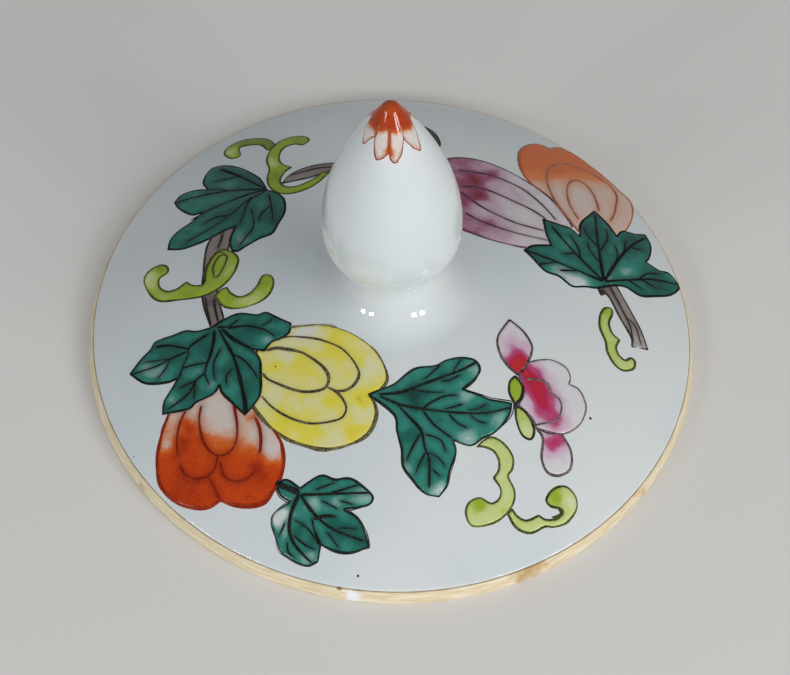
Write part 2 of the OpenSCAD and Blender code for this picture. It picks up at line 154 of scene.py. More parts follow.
LEAF_NORTH_WEST = [
    [-24, 23.5], [-25.5, 25.2], [-28, 27.3], [-31, 28.5], [-33, 28.3, 1], [-33.9, 26.5],
    [-34, 24.2], [-33, 22.3, 1], [-35.5, 22.5], [-37.6, 21.8], [-38.5, 20.2, 1], [-37.5, 18.4],
    [-35, 16.2], [-33.2, 16.5, 1], [-34.6, 14.6], [-36.6, 12.9], [-37.9, 11], [-38, 8.8, 1],
    [-35.5, 8.4], [-33, 9.2], [-30.8, 10.2, 1], [-29, 11.4], [-27, 12.2, 1], [-27.6, 9.5],
    [-27.2, 7.2], [-26.2, 6.6], [-24.8, 7.6], [-22.8, 9], [-20.8, 10], [-20, 12], [-19.1, 15],
    [-19.5, 18], [-21, 19.8], [-22.6, 20.6, 1],
]
LEAF_WEST = [
    [-28.7, -8.3, 1], [-27, -7.2], [-24.6, -6.1], [-21.6, -6.5], [-20.2, -6.1], [-18.4, -7.1],
    [-16, -8.3, 1], [-16.2, -10], [-17.6, -11.1], [-18.8, -11.6], [-19.8, -13.1, 1], [-21.8, -12.8, 1],
    [-20.4, -14.6], [-20, -17], [-19.8, -20.4], [-20.8, -22.4], [-21.9, -23.8, 1], [-24, -21.8],
    [-25.8, -20], [-26.4, -18.5, 1], [-27.2, -20], [-29.8, -21.2], [-31, -22.2], [-35, -22.7, 1],
    [-35, -20.6], [-34, -18.6], [-33.2, -16.9, 1], [-35, -17.4], [-38.5, -17], [-41.2, -15, 1],
    [-39.6, -12.6], [-38.4, -11.2], [-37.6, -9.8], [-35, -9.1], [-33, -8.5], [-31, -8.8],
]
LEAF_SOUTH = [
    [-15.9, -34.2, 1], [-14.4, -34], [-12.4, -35.1, 1], [-10.8, -33.9], [-9.2, -33.2], [-7.4, -33.8],
    [-5.5, -33.5], [-4, -33.9], [-1.8, -35.5], [-1.3, -36.4], [-2.2, -37.4], [-5.6, -38.1, 1],
    [-3.4, -39.3], [-2.2, -41.2], [-1.5, -43.2, 1], [-4.2, -44.2], [-6.8, -43.9], [-8.7, -43.1, 1],
    [-8.8, -44.2], [-9, -45.5, 1], [-10.4, -46.1], [-12.4, -45.6], [-14.6, -44.2], [-15.5, -42.4],
    [-16.4, -40.2], [-16, -38.7], [-13.6, -37.1, 1], [-15, -36.4], [-15.9, -35.2, 1],
]
LEAF_CENTRE = [
    [-3, -20.5, 1], [-1.3, -19.5], [0.8, -18.4], [2.6, -16.6], [4.2, -15.4], [7, -14.8],
    [8.8, -13.6], [11, -12.9], [13.2, -13], [14.1, -14.4], [13.4, -16.2], [11.4, -18.3, 1],
    [14, -18.9], [16, -19.4], [19.2, -19.5, 1], [18.8, -21.6], [16.8, -24.4], [14.8, -25.7],
    [13, -27.1], [10.3, -26.6, 1], [10.8, -28.4], [10, -31.4], [9.7, -33.6], [8.6, -35.3, 1],
    [6.6, -35], [4.6, -33.3], [3, -31.4], [2.6, -28.6], [1.7, -26], [1.4, -24], [0.2, -22.7],
]
LEAF_EAST = [
    [20.8, 9.8, 1], [22.4, 11.1], [25.4, 12, 1], [24.6, 14.4], [24.1, 17.8, 1], [26.5, 17.4],
    [28.8, 17], [30.4, 15.6, 1], [30.7, 19], [33.2, 22.9, 1], [35.2, 20.8], [37, 18, 1],
    [38.2, 19.8], [40.4, 20.1], [42.3, 20.7, 1], [43.1, 18.4], [42.8, 15.6], [42, 13.9, 1],
    [44.4, 12.9], [46, 13.1], [47.4, 11.8], [47.8, 10.2], [46, 8], [43, 6.6], [40.6, 5.9],
    [38.2, 6.8], [36.4, 6.6, 1], [34.6, 5.7], [33, 4.9], [31, 4.6], [28.8, 4.1], [26.6, 5.6],
    [24.2, 6.2], [22, 8.6],
]
LEAF_BEHIND = [
    [-5, 24.5, 1], [-7.6, 26], [-9.4, 29.5, 1], [-6.8, 29.6], [-6.4, 33], [-3.6, 36.4, 1],
    [-1.4, 36.2], [0.4, 38.8], [2.8, 40, 1], [4.8, 38.3], [6, 35.8], [6.2, 33.6], [4.4, 31.4, 1],
    [2.4, 29.4], [0.4, 25.2], [-2.4, 24.6],
]
BRANCH_NORTH_WEST = [
    [-20.3, 22, 1], [-19, 24.4], [-16, 26.3], [-12, 27.2], [-8, 26.6], [-3, 24.6], [3.2, 23.4, 1],
    [5.2, 21.9, 1], [2.6, 21.6], [-3.4, 22.6], [-8, 24.4], [-12, 24.9], [-16, 23.2],
]
BRANCH_WEST = [
    [-30.9, 10.2, 1], [-31.5, 7.4], [-31.3, 2], [-31, -2], [-30.2, -5], [-28.8, -8.3, 1],
    [-26.8, -7.3, 1], [-27.6, -4.8], [-28.6, -1.4], [-28.4, 3], [-27.8, 7], [-27.2, 12.1, 1],
    [-29, 11.4],
]
BRANCH_EAST = [
    [33.2, 5, 1], [33.7, 3.7, 1], [34.9, 3.9], [37, -0.2], [38.7, -3.2], [38.8, -5, 1],
    [41.6, -4.7, 1], [40.4, -1.2], [38.2, 3.1], [36.4, 6.6, 1], [34.6, 5.7],
]
TENDRIL_NORTH_WEST = [
    [-16.6, 34.3], [-17.6, 35.5], [-19.6, 35.6], [-21.8, 34.4], [-23.2, 31.6], [-23.5, 28.8],
    [-22.8, 26.2], [-22.9, 23.4], [-22, 20.9], [-20, 19.4], [-17.2, 19.7], [-14.4, 21.6],
    [-12.4, 24.6, 1], [-13.6, 24.6, 1], [-15.6, 22.4], [-18, 21.1], [-19.8, 21.4], [-20.6, 23],
    [-20, 25.2], [-19, 26.3, 1], [-20.8, 27.6], [-21.4, 29.8], [-20.8, 32.2], [-19.2, 33.2],
    [-17.6, 32.9],
]
TENDRIL_NORTH_WEST_CURL = [
    [-22.4, 31.4, 1], [-22.4, 33.4, 1], [-24, 35.4], [-26.6, 36.1], [-29, 35.7], [-31, 34],
    [-31.3, 32], [-29.9, 30.4], [-28.4, 31], [-28.8, 33.4], [-27, 34], [-25, 33.6], [-23.8, 32, 1],
]
TENDRIL_WEST = [
    [-39.2, 5.5], [-37.8, 5], [-37.5, 3.7], [-38.7, 2.6], [-38.4, 0.8], [-37, -0.3], [-35.4, -0.1],
    [-34, 1.1, 1], [-32.6, 0.2], [-31, 0.4], [-31, 3.4], [-30, 6.2], [-28.6, 7.2], [-26.8, 6.3],
    [-25.8, 4.6], [-26.4, 1.6], [-28, -0.6], [-30, -1.8], [-32, -2.3], [-35, -2.3], [-38, -2],
    [-40, -0.2], [-41.3, 2.6], [-40.8, 4.5],
]
TENDRIL_WEST_HOOK = [
    [-27.1, -0.8, 1], [-26.3, -2], [-24.8, -2.9], [-23.2, -2.3], [-22.1, -0.8], [-21.4, 1.1],
    [-20.1, 1], [-19.5, -0.4], [-20, -2.6], [-21.6, -4.2], [-24.4, -5.1], [-27, -4.6],
    [-28.8, -2.4, 1], [-28, -1.2],
]
TENDRIL_SOUTH = [
    [14, -27.2, 1], [15, -26.1], [16.4, -25.4], [18.2, -26.2], [19.6, -28], [19.6, -29.8],
    [19, -31], [20, -32.8], [20.1, -34.4], [19.2, -36.3], [17.2, -38.1], [14, -39], [12.8, -37.4],
    [13.2, -35.7], [14.8, -34.8], [16.6, -35.4], [17.8, -34.5], [17.9, -33], [16.8, -31.6, 1],
    [17.5, -30.4], [17.5, -28.8], [16.6, -27.5], [15.2, -27.1],
]
TENDRIL_SOUTH_CURL = [
    [19.8, -35.8, 1], [20.8, -36.8], [22.2, -37.1], [24, -36.1, 1], [25, -36.5], [26.6, -36.2],
    [27.7, -35.1], [27.2, -34.5], [25.8, -34.4], [25.1, -33.6], [25.8, -32.2], [27, -31.3],
    [28.4, -31.2], [29.7, -32.4], [29.8, -34.2], [28.4, -36.3], [26.4, -37.3], [25, -37.5],
    [22.8, -38.8], [20.6, -38.4], [19.2, -36.6, 1],
]
TENDRIL_EAST = [
    [35.4, 1.4], [34.2, 1.1], [33.4, -0.8], [33.4, -3], [34.3, -5.3], [34.6, -7.2], [35.8, -9.2],
    [37.3, -9.9], [39, -9.1], [39.3, -7.7], [38.6, -7.2], [37.6, -7.9], [36.5, -7.2], [36.1, -5.8],
    [36.7, -4.4, 1], [35.5, -3.4], [35, -1.6], [35.6, 0.4],
]
FLOWER_UPPER_PETAL = [
    [18.5, -4.9, 1], [20.8, -6.7], [22.2, -9.2], [21.6, -12], [20.2, -14.6, 1], [18.4, -13.2],
    [17.1, -11.2], [16.7, -8.4],
]
FLOWER_MAIN_PETALS = [
    [20.2, -14.6, 1], [21.6, -12.2], [25, -10.9], [27.6, -11.6], [28.5, -13.2], [28.3, -14.5, 1],
    [30, -15.2], [31.1, -17.8], [30.4, -20.4], [28.8, -22.2], [26.8, -23.1], [23.2, -22.9, 1],
    [22.4, -21.2], [20.3, -19.6, 1], [21.1, -17.2],
]
FLOWER_LOWER_PETAL = [
    [23.2, -22.9, 1], [24.2, -24.4], [24.1, -27.4], [25, -29.4], [26.8, -29.7], [28.7, -28.3],
    [28.8, -25.6], [27.2, -22.9, 1], [25.2, -23.3],
]
SEPAL_UPPER = [
    [19.6, -14.8, 1], [20.8, -16.4], [20.7, -18.2], [19.8, -19.6, 1], [18.8, -17.8], [18.8, -16],
]
SEPAL_LOWER = [
    [19.8, -19.7, 1], [21.6, -20.8], [22.8, -23], [22.4, -24.7], [21, -24.3], [20, -22],
]

# ---------------------------------------------------------------- curves and outlines


def smooth(line, steps=8, closed=True):
    """Smooth curve through the points of an outline, with sharp corners where a point says so."""
    points = [np.array(p[:2], float) for p in line]
    corner = [len(p) > 2 for p in line]
    count = len(points)
    spans = count if closed else count - 1
    out = []
    for i in range(spans):
        p, q = points[i], points[(i + 1) % count]
        before = points[i - 1] if closed or i > 0 else p
        after = points[(i + 2) % count] if closed or i + 2 < count else q
        u = q - p if corner[i] else (q - before) / 2
        v = q - p if corner[(i + 1) % count] else (after - p) / 2
        for k in range(steps):
            t = k / steps
            out.append(
                p * (2 * t ** 3 - 3 * t ** 2 + 1)
                + u * (t ** 3 - 2 * t ** 2 + t)
                + q * (3 * t ** 2 - 2 * t ** 3)
                + v * (t ** 3 - t ** 2)
            )
    if not closed:
        out.append(points[-1])
    return np.array(out)


def resample(path, step, closed=False):
    """The path again, with its points an even step apart."""
    if closed:
        path = np.vstack([path, path[:1]])
    gaps = np.linalg.norm(np.diff(path, axis=0), axis=1)
    along = np.concatenate([[0], np.cumsum(gaps)])
    count = max(3, int(round(along[-1] / step)) + 1)
    at = np.linspace(0, along[-1], count)
    return np.stack([np.interp(at, along, path[:, k]) for k in range(path.shape[1])], 1)


def inside(points, ring):
    """Which points lie in a closed ring, by the even-odd rule."""
    ax, ay = ring[:, 0], ring[:, 1]
    bx, by = np.roll(ax, -1), np.roll(ay, -1)
    slope = (bx - ax) / np.where(by == ay, 1, by - ay)
    odd = np.zeros(len(points), bool)
    for k in range(0, len(points), 4000):
        x, y = points[k:k + 4000, :1], points[k:k + 4000, 1:]
        crosses = ((ay > y) != (by > y)) & (x < slope * (y - ay) + ax)
        odd[k:k + 4000] = crosses.sum(1) % 2 == 1
    return odd


def distance(points, starts, ends):
    """Distance from each point to the nearest of the straight pieces from starts to ends."""
    best = np.full(len(points), 1e9)
    way = ends - starts
    length = np.maximum((way ** 2).sum(1), 1e-12)
    for k in range(0, len(points), 4000):
        rel = points[k:k + 4000, None, :] - starts[None]
        t = np.clip((rel * way[None]).sum(2) / length[None], 0, 1)
        gap = rel - t[..., None] * way[None]
        best[k:k + 4000] = np.sqrt((gap ** 2).sum(2).min(1))
    return best


def on_sphere(points, radius):
    """Height of a sphere about the dome's centre above points of the plane."""
    return DOME_C + np.sqrt(np.maximum(radius ** 2 - (points ** 2).sum(1), 0))


# ---------------------------------------------------------------- meshes


def add_object(name, data):
    """A new object in the scene."""
    made = bpy.data.objects.new(name, data)
    bpy.context.scene.collection.objects.link(made)
    return made


def round_angles(count):
    """Even angles all the way round."""
    return np.linspace(0, 2 * math.pi, count, endpoint=False)


def make_mesh(name, verts, faces, attributes=None):
    """A closed, smooth-shaded mesh with its faces turned outwards, from points in mm."""
    verts = np.asarray(verts, float)
    volume = 0.0
    for size in {len(face) for face in faces}:
        group = verts[np.array([face for face in faces if len(face) == size])]
        for j in range(1, size - 1):
            volume += (group[:, 0] * np.cross(group[:, j], group[:, j + 1])).sum()
    if volume < 0:
        faces = [tuple(reversed(face)) for face in faces]
    mesh = bpy.data.meshes.new(name)
    mesh.from_pydata((verts * MM).tolist(), [], [tuple(int(i) for i in face) for face in faces])
    mesh.polygons.foreach_set("use_smooth", [True] * len(mesh.polygons))
    for key, values in (attributes or {}).items():
        layer = mesh.attributes.new(key, "FLOAT", "POINT")
        layer.data.foreach_set("value", np.asarray(values, np.float32))
    mesh.validate()
    mesh.update()
    return add_object(name, mesh)


def dress(piece, material, slot, *nodes):
    """Gives a piece its material, puts it on the lid and lets it stand for its nodes. The slot is not used.
    """
    piece.data.materials.append(material)
    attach(piece, "root")
    if nodes:
        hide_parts(*nodes)


def leaned(verts):
    """The finial's lean: none at the foot of the neck, all of it from the bud's foot upwards."""
    out = np.array(verts, float)
    low = DOME_H - 1
    share = np.clip((out[:, 2] - low) / (BUD_FOOT_Z - low), 0, 1)
    angle = LEAN * share ** 2 * (3 - 2 * share)
    x, z = out[:, 0].copy(), out[:, 2] - LEAN_Z
    out[:, 0] = x * np.cos(angle) - z * np.sin(angle)
    out[:, 2] = x * np.sin(angle) + z * np.cos(angle) + LEAN_Z
    return out


def lathe(name, profile, segments=240, lean=False):
    """A body turned from a profile of (radius, height) that starts and ends on the axis."""
    inner = profile[1:-1]
    turn = round_angles(segments)
    rings = [np.stack([r * np.cos(turn), r * np.sin(turn), np.full(segments, z)], 1) for r, z in inner]
    verts = np.vstack(rings + [[[0, 0, profile[0][1]]], [[0, 0, profile[-1][1]]]])
    first, last = len(verts) - 2, len(verts) - 1
    faces = []
    for j in range(segments):
        k = (j + 1) % segments
        faces.append((first, j, k))
        for i in range(len(inner) - 1):
            a, b = i * segments, (i + 1) * segments
            faces.append((a + k, a + j, b + j, b + k))
        end = (len(inner) - 1) * segments
        faces.append((end + k, end + j, last))
    if lean:
        verts = leaned(verts)
    return make_mesh(name, verts, faces)


def arc(cx, cz, radius, start, end, steps):
    """Points of a profile along an arc, from angle start to angle end."""
    return [
        (cx + radius * math.cos(start + (end - start) * k / steps),
         cz + radius * math.sin(start + (end - start) * k / steps))
        for k in range(steps + 1)
    ]


def sphere_profile(centre, radius, r0, r1, steps):
    """Points of a profile on a sphere, from r0 to r1 off the axis."""
    return [
        (r, centre + math.sqrt(radius ** 2 - r ** 2))
        for r in (r0 + (r1 - r0) * k / steps for k in range(steps + 1))
    ]


def finial_profile(t):
    """The finial from its tip down to the dome, grown by t, with a soft crease under the bud."""
    foot = math.asin((BUD_FOOT_Z - BUD_Z) / (BELLY_R + t))
    line = [(0, TIP_Z + TIP_R + t)]
    line += arc(0, TIP_Z, TIP_R + t, math.pi / 2, TIP_A, 12)[1:]
    line += arc(CONE_X, CONE_Z, CONE_R + t, TIP_A, SHOULDER_A, 40)[1:]
    line += arc(BUD_R - SHOULDER_R, BUD_Z, SHOULDER_R + t, SHOULDER_A, 0, 28)[1:]
    line += arc(BUD_R - BELLY_R, BUD_Z, BELLY_R + t, 0, foot, 24)[1:]
    end = math.atan2(FILLET_EDGE_Z - FILLET_Z, FILLET_EDGE_R - FILLET_X)
    line += arc(FILLET_X, FILLET_Z, FILLET_R - t, math.pi, end + 2 * math.pi, 36)
    line = np.array(line)
    near_foot = 1.6
    passes = 12
    crease = np.abs(line[:, 1] - BUD_FOOT_Z) < near_foot
    for _ in range(passes):
        middle = (line[:-2] + line[2:]) / 2
        line[1:-1][crease[1:-1]] = middle[crease[1:-1]]
    return [tuple(p) for p in line]


# ---------------------------------------------------------------- enamel areas

EDGE_W = 0.55  # width of the rounded edge of an enamel
GRID = 0.32  # distance between mesh points inside an enamel


def rounded(edge):
    """Height of an enamel over the glaze, rounded off towards its border."""
    u = np.clip(edge / EDGE_W, 0, 1)
    return ENAMEL_T * np.sqrt(1 - (1 - u) ** 2)


class Area:
    """One enamel on the dome: an outline, less what is painted over it."""

    def __init__(self, line, *cuts):
        self.ring = smooth(line)
        self.cuts = [smooth(cut) for cut in cuts]
        self.low = self.ring.min(0) - 0.5
        self.high = self.ring.max(0) + 0.5
        self.triangulate()

    def holds(self, points):
        """Which points lie in the part of the area that shows."""
        found = inside(points, self.ring)
        for cut in self.cuts:
            found &= ~inside(points, cut)
        return found

    def triangulate(self):
        """Fills the area with an even mesh and finds its border and each point's depth inside it."""
        rings = [self.ring] + self.cuts
        points, edges = [], []
        for ring in rings:
            start = len(points)
            points += ring.tolist()
            edges += [(start + i, start + (i + 1) % len(ring)) for i in range(len(ring))]
        starts = np.vstack(rings)
        ends = np.vstack([np.roll(ring, -1, 0) for ring in rings])
        xs = np.arange(self.low[0], self.high[0], GRID)
        ys = np.arange(self.low[1], self.high[1], GRID * 0.866)
        grid = np.array([(x + GRID / 2 * (j % 2), y) for j, y in enumerate(ys) for x in xs])
        grid = grid[self.holds(grid)]
        grid = grid[distance(grid, starts, ends) > 0.45 * GRID]
        points += grid.tolist()
        flat = [Vector(p) for p in points]
        found, _, triangles, _, _, _ = delaunay_2d_cdt(flat, edges, [], 0, 1e-5)
        found = np.array([tuple(v) for v in found])
        triangles = np.array([tuple(t) for t in triangles])
        keep = self.holds(found[triangles].mean(1))
        triangles = triangles[keep]
        used = np.unique(triangles)
        place = np.full(len(found), -1)
        place[used] = np.arange(len(used))
        self.points = found[used]
        self.triangles = place[triangles]
        sides = {}
        for a, b, c in self.triangles:
            for p, q in ((a, b), (b, c), (c, a)):
                key = (min(p, q), max(p, q))
                sides[key] = None if key in sides else (p, q)
        self.border = np.array([side for side in sides.values() if side is not None])
        self.edge = self.depth(self.points)

    def depth(self, points):
        """Distance from the border for points inside."""
        return distance(points, self.points[self.border[:, 0]], self.points[self.border[:, 1]])

    def cover(self, points):
        """Height of this enamel over any points of the plane."""
        out = np.zeros(len(points))
        near = ((points > self.low) & (points < self.high)).all(1)
        if near.any():
            hit = np.where(near)[0]
            hit = hit[self.holds(points[hit])]
            if len(hit):
                out[hit] = rounded(self.depth(points[hit]))
        return out


def enamel_piece(name, area, attributes):
    """The closed raised patch of an area, with its attributes at each point."""
    count = len(area.points)
    top = np.column_stack([area.points, on_sphere(area.points, DOME_R + rounded(area.edge))])
    low = np.column_stack([area.points, on_sphere(area.points, DOME_R - SINK)])
    faces = [tuple(t) for t in area.triangles]
    faces += [(c + count, b + count, a + count) for a, b, c in area.triangles]
    faces += [(q, p, p + count, q + count) for p, q in area.border]
    doubled = {key: np.concatenate([values, values]) for key, values in attributes.items()}
    return make_mesh(name, np.vstack([top, low]), faces, doubled)


# ---------------------------------------------------------------- ink lines

# section of a line: place across it, from -1 to 1, and height
SECTION = ((-1, -SINK), (-0.75, 0.65 * INK_T), (0, INK_T), (0.75, 0.65 * INK_T), (1, -SINK))
INK_STEP = 0.2  # distance between mesh points along a line
UNSTEADY = (0.68, 1.28)  # how much a brush line widens and narrows


def strip(rings):
    """Faces of a strip of five-cornered rings with closed ends."""
    faces = [(0, 1, 2, 3, 4)]
    for i in range(rings - 1):
        for j in range(5):
            k = (j + 1) % 5
            faces.append((5 * i + k, 5 * i + j, 5 * i + 5 + j, 5 * i + 5 + k))
    end = 5 * (rings - 1)
    faces.append((end + 4, end + 3, end + 2, end + 1, end))
    return faces


def brush(count, wide0, wide1, seed, taper):
    """Width along a stroke: from wide0 to wide1, a little unsteady, thin at open ends."""
    at = np.linspace(0, 1, count)
    random = np.random.default_rng(seed)
    knots = max(3, count // 9)
    wobble = np.interp(at, np.linspace(0, 1, knots), random.uniform(*UNSTEADY, knots))
    wide = (wide0 + (wide1 - wide0) * at) * wobble
    if taper:
        reach = np.minimum(np.arange(count), np.arange(count)[::-1]) / 3
        wide *= 0.35 + 0.65 * np.clip(reach, 0, 1) ** 0.5
    return wide


class Ink:
    """Ink lines that lie on the glaze and the enamels, gathered into one piece."""

    def __init__(self):
        self.verts, self.faces, self.load, self.total = [], [], [], 0
        self.seed = 11

    def size_of_step(self, path):
        """Length in mm of a step of 1 in the first coordinate."""
        return np.ones(len(path))

    def lay(self, at, lift):
        """Places points of the plane on the painted dome."""
        return on_coat(at, lift)

    def add(self, path, wide, density):
        """One stroke along a path."""
        size = self.size_of_step(path)
        way = np.gradient(path, axis=0)
        way[:, 0] *= size
        way /= np.maximum(np.linalg.norm(way, axis=1), 1e-9)[:, None]
        side = np.stack([-way[:, 1] / size, way[:, 0]], 1)
        at = np.vstack([path + side * (u * wide / 2)[:, None] for u, _ in SECTION])
        lift = np.repeat([lift for _, lift in SECTION], len(path))
        verts = self.lay(at, lift).reshape(len(SECTION), len(path), 3).swapaxes(0, 1).reshape(-1, 3)
        self.faces += [tuple(i + self.total for i in face) for face in strip(len(path))]
        self.verts.append(verts)
        self.load.append(np.repeat(np.broadcast_to(density, len(path)), len(SECTION)))
        self.total += len(verts)

    def stroke(self, points, wide0, wide1, density):
        """A brush stroke through the given points."""
        self.seed += 1
        path = resample(smooth(points, 8, False), INK_STEP)
        self.add(path, brush(len(path), wide0, wide1, self.seed, True), density)

    def outline(self, area, wide, density, faint=(), drift=0.05):
        """The ink round an area where its own outline shows, thin and pale near the faint spots."""
        self.seed += 1
        path = resample(area.ring, INK_STEP, True)
        widths = brush(len(path), wide, wide, self.seed, False)
        shown = np.ones(len(path) + 1, bool)
        for cut in area.cuts:
            shown[:-1] &= ~inside(path, cut)
        load = np.full(len(path), density)
        for x, y, r, amount in faint:
            share = 1 - amount * spot(path[:, 0], path[:, 1], x, y, r)
            widths *= 0.4 + 0.6 * share
            load *= share
        shown[:-1] &= load > 0.06
        shown[-1] = False
        way = np.gradient(path, axis=0)
        way /= np.linalg.norm(way, axis=1)[:, None]
        random = np.random.default_rng(self.seed)
        knots = random.uniform(-1, 1, max(4, len(path) // 14))
        knots[-1] = knots[0]
        shift = np.interp(np.linspace(0, 1, len(path)), np.linspace(0, 1, len(knots)), knots)
        shift = np.concatenate([shift[-7:-1], shift, shift[1:7]])
        shift = np.convolve(shift, np.full(13, 1 / 13), "valid")
        path = path + np.stack([-way[:, 1], way[:, 0]], 1) * (drift * shift)[:, None]
        start = None
        for i, seen in enumerate(shown):
            if seen and start is None:
                start = i
            if not seen and start is not None:
                if i - start > 3:
                    self.add(path[start:i], widths[start:i], load[start:i])
                start = None

    def piece(self, name, material, slot):
        """Makes one piece of all the lines laid so far."""
        made = make_mesh(name, np.vstack(self.verts), self.faces, {"load": np.concatenate(self.load)})
        dress(made, material, slot)


# ---------------------------------------------------------------- materials


def srgb(r, g, b):
    """A colour as it looks on screen, turned into the linear values that shaders use."""
    return tuple(c / 12.92 if c <= 0.04045 else ((c + 0.055) / 1.055) ** 2.4 for c in (r, g, b)) + (1,)


class Nodes:
    """Short calls for building one material's nodes."""

    def __init__(self, name):
        self.material = bpy.data.materials.new(name)
        self.material.use_nodes = True
        self.tree = self.material.node_tree
        self.shader = self.tree.nodes["Principled BSDF"]
        self.place = self.tree.nodes.new("ShaderNodeTexCoord").outputs["Object"]

    def link(self, value, socket):
        """Feeds a socket from another node's output, or sets it to a constant."""
        if hasattr(value, "node"):
            self.tree.links.new(value, socket)
        else:
            socket.default_value = value

    def new(self, kind, **inputs):
        """A new node, with some of its inputs fed or set."""
        node = self.tree.nodes.new("ShaderNode" + kind)
        for key, value in inputs.items():
            self.link(value, node.inputs[key])
        return node

    def noise(self, size, detail, rough=0.5, stretch=(1, 1, 1)):
        """Noise between 0 and 1 whose features are about size mm across."""
        mapped = self.new("Mapping", Vector=self.place, Scale=stretch).outputs["Vector"]
        node = self.new("TexNoise", Vector=mapped, Scale=1 / (size * MM), Detail=detail, Roughness=rough)
        return node.outputs["Fac"]

    def near(self, x, y, z, radius):
        """1 about a point given in mm, fading unevenly to 0 at the radius."""
        node = self.new("VectorMath")
        node.operation = "DISTANCE"
        self.link(self.place, node.inputs[0])
        node.inputs[1].default_value = (x * MM, y * MM, z * MM)
        fade = 0.6 * radius * MM
        uneven = self.plus(node.outputs["Value"], self.times(self.noise(0.6, 2), fade))
        return self.span(uneven, 2 * fade, fade)

    def swing(self, size, detail, rough=0.5):
        """Noise between -0.5 and 0.5."""
        return self.math("SUBTRACT", self.noise(size, detail, rough), 0.5)

    def attribute(self, key):
        """A value painted on the mesh."""
        node = self.new("Attribute")
        node.attribute_name = key
        return node.outputs["Fac"]

    def math(self, kind, a, b=0.0, clamp=False):
        node = self.new("Math")
        node.operation = kind
        node.use_clamp = clamp
        self.link(a, node.inputs[0])
        self.link(b, node.inputs[1])
        return node.outputs[0]

    def times(self, a, b):
        return self.math("MULTIPLY", a, b)

    def plus(self, a, b, clamp=False):
        return self.math("ADD", a, b, clamp)

    def span(self, value, low, high, to_low=0.0, to_high=1.0):
        """Maps low..high onto to_low..to_high, smoothly and without going past the ends."""
        node = self.new("MapRange")
        node.interpolation_type = "SMOOTHSTEP"
        for socket, number in zip(node.inputs[1:5], (low, high, to_low, to_high)):
            socket.default_value = number
        self.link(value, node.inputs[0])
        return node.outputs[0]

    def mix(self, share, a, b):
        """Colour a, with a share of colour b mixed in."""
        node = self.new("Mix")
        node.data_type = "RGBA"
        self.link(share, node.inputs["Factor"])
        self.link(a, node.inputs[6])
        self.link(b, node.inputs[7])
        return node.outputs[2]

    def ramp(self, value, *stops):
        """A colour ramp through stops of (position, red, green, blue)."""
        node = self.new("ValToRGB", Fac=value)
        node.color_ramp.interpolation = "EASE"
        elements = node.color_ramp.elements
        while len(elements) < len(stops):
            elements.new(0.5)
        for element, (position, *colour) in zip(elements, stops):
            element.position = position
            element.color = srgb(*colour)
        return node.outputs["Color"]

    def bump(self, height, depth, strength):
        """Bump of a height between 0 and 1, depth in mm."""
        node = self.new("Bump", Distance=depth * MM, Strength=strength, Height=height)
        self.link(node.outputs["Normal"], self.shader.inputs["Normal"])

    def finish(self, colour, roughness, **sockets):
        """Connects colour and roughness, and sets the shader's other sockets to constants."""
        self.link(colour, self.shader.inputs["Base Color"])
        self.link(roughness, self.shader.inputs["Roughness"])
        for key, number in sockets.items():
            self.shader.inputs[key.replace("_", " ")].default_value = number
        return self.material


def glaze_material(name):
    """Clear glossy glaze over white porcelain, cool and slightly uneven, with fine pinholes."""
    n = Nodes(name)
    cloud = n.noise(28, 2)
    colour = n.mix(n.span(cloud, 0.3, 0.7), srgb(0.83, 0.86, 0.87), srgb(0.87, 0.89, 0.89))
    pores = n.span(n.noise(0.55, 1), 0.76, 0.82)
    colour = n.mix(n.times(pores, 0.12), colour, srgb(0.55, 0.52, 0.48))
    swell = n.plus(n.noise(6, 1), n.times(pores, -0.25))
    n.bump(swell, 0.05, 0.35)
    rough = n.span(n.noise(9, 2), 0.3, 0.7, 0.05, 0.10)
    return n.finish(colour, rough, IOR=1.5, Coat_Weight=0.3, Coat_Roughness=0.03)


# brown stains and a pale chip on the rim: x, y, z and radius
STAINS = ((-3.0, -49.2, 2.5, 0.9), (-5.5, -49.0, 2.4, 0.7))
CHIP = (-3.4, -49.7, 1.4, 1.9)


def clay_material():
    """Bare fired porcelain of the rim: cream, fine turning grooves, tea stains and a pale chip."""
    n = Nodes("bare_porcelain")
    grain = n.noise(0.35, 4, 0.6)
    streak = n.noise(0.22, 2, 0.5, (0.06, 0.06, 1))
    colour = n.mix(n.span(streak, 0.35, 0.65), srgb(0.86, 0.79, 0.64), srgb(0.93, 0.89, 0.78))
    colour = n.mix(n.span(n.noise(7, 3), 0.62, 0.74), colour, srgb(0.76, 0.62, 0.42))
    colour = n.mix(n.times(grain, 0.12), colour, srgb(0.62, 0.50, 0.36))
    for stain in STAINS:
        colour = n.mix(n.near(*stain), colour, srgb(0.57, 0.42, 0.27))
    colour = n.mix(n.near(*CHIP), colour, srgb(0.93, 0.94, 0.95))
    n.bump(n.plus(n.times(grain, 0.6), streak), 0.06, 0.6)
    rough = n.span(grain, 0.3, 0.7, 0.45, 0.65)
    return n.finish(colour, rough, IOR=1.5)


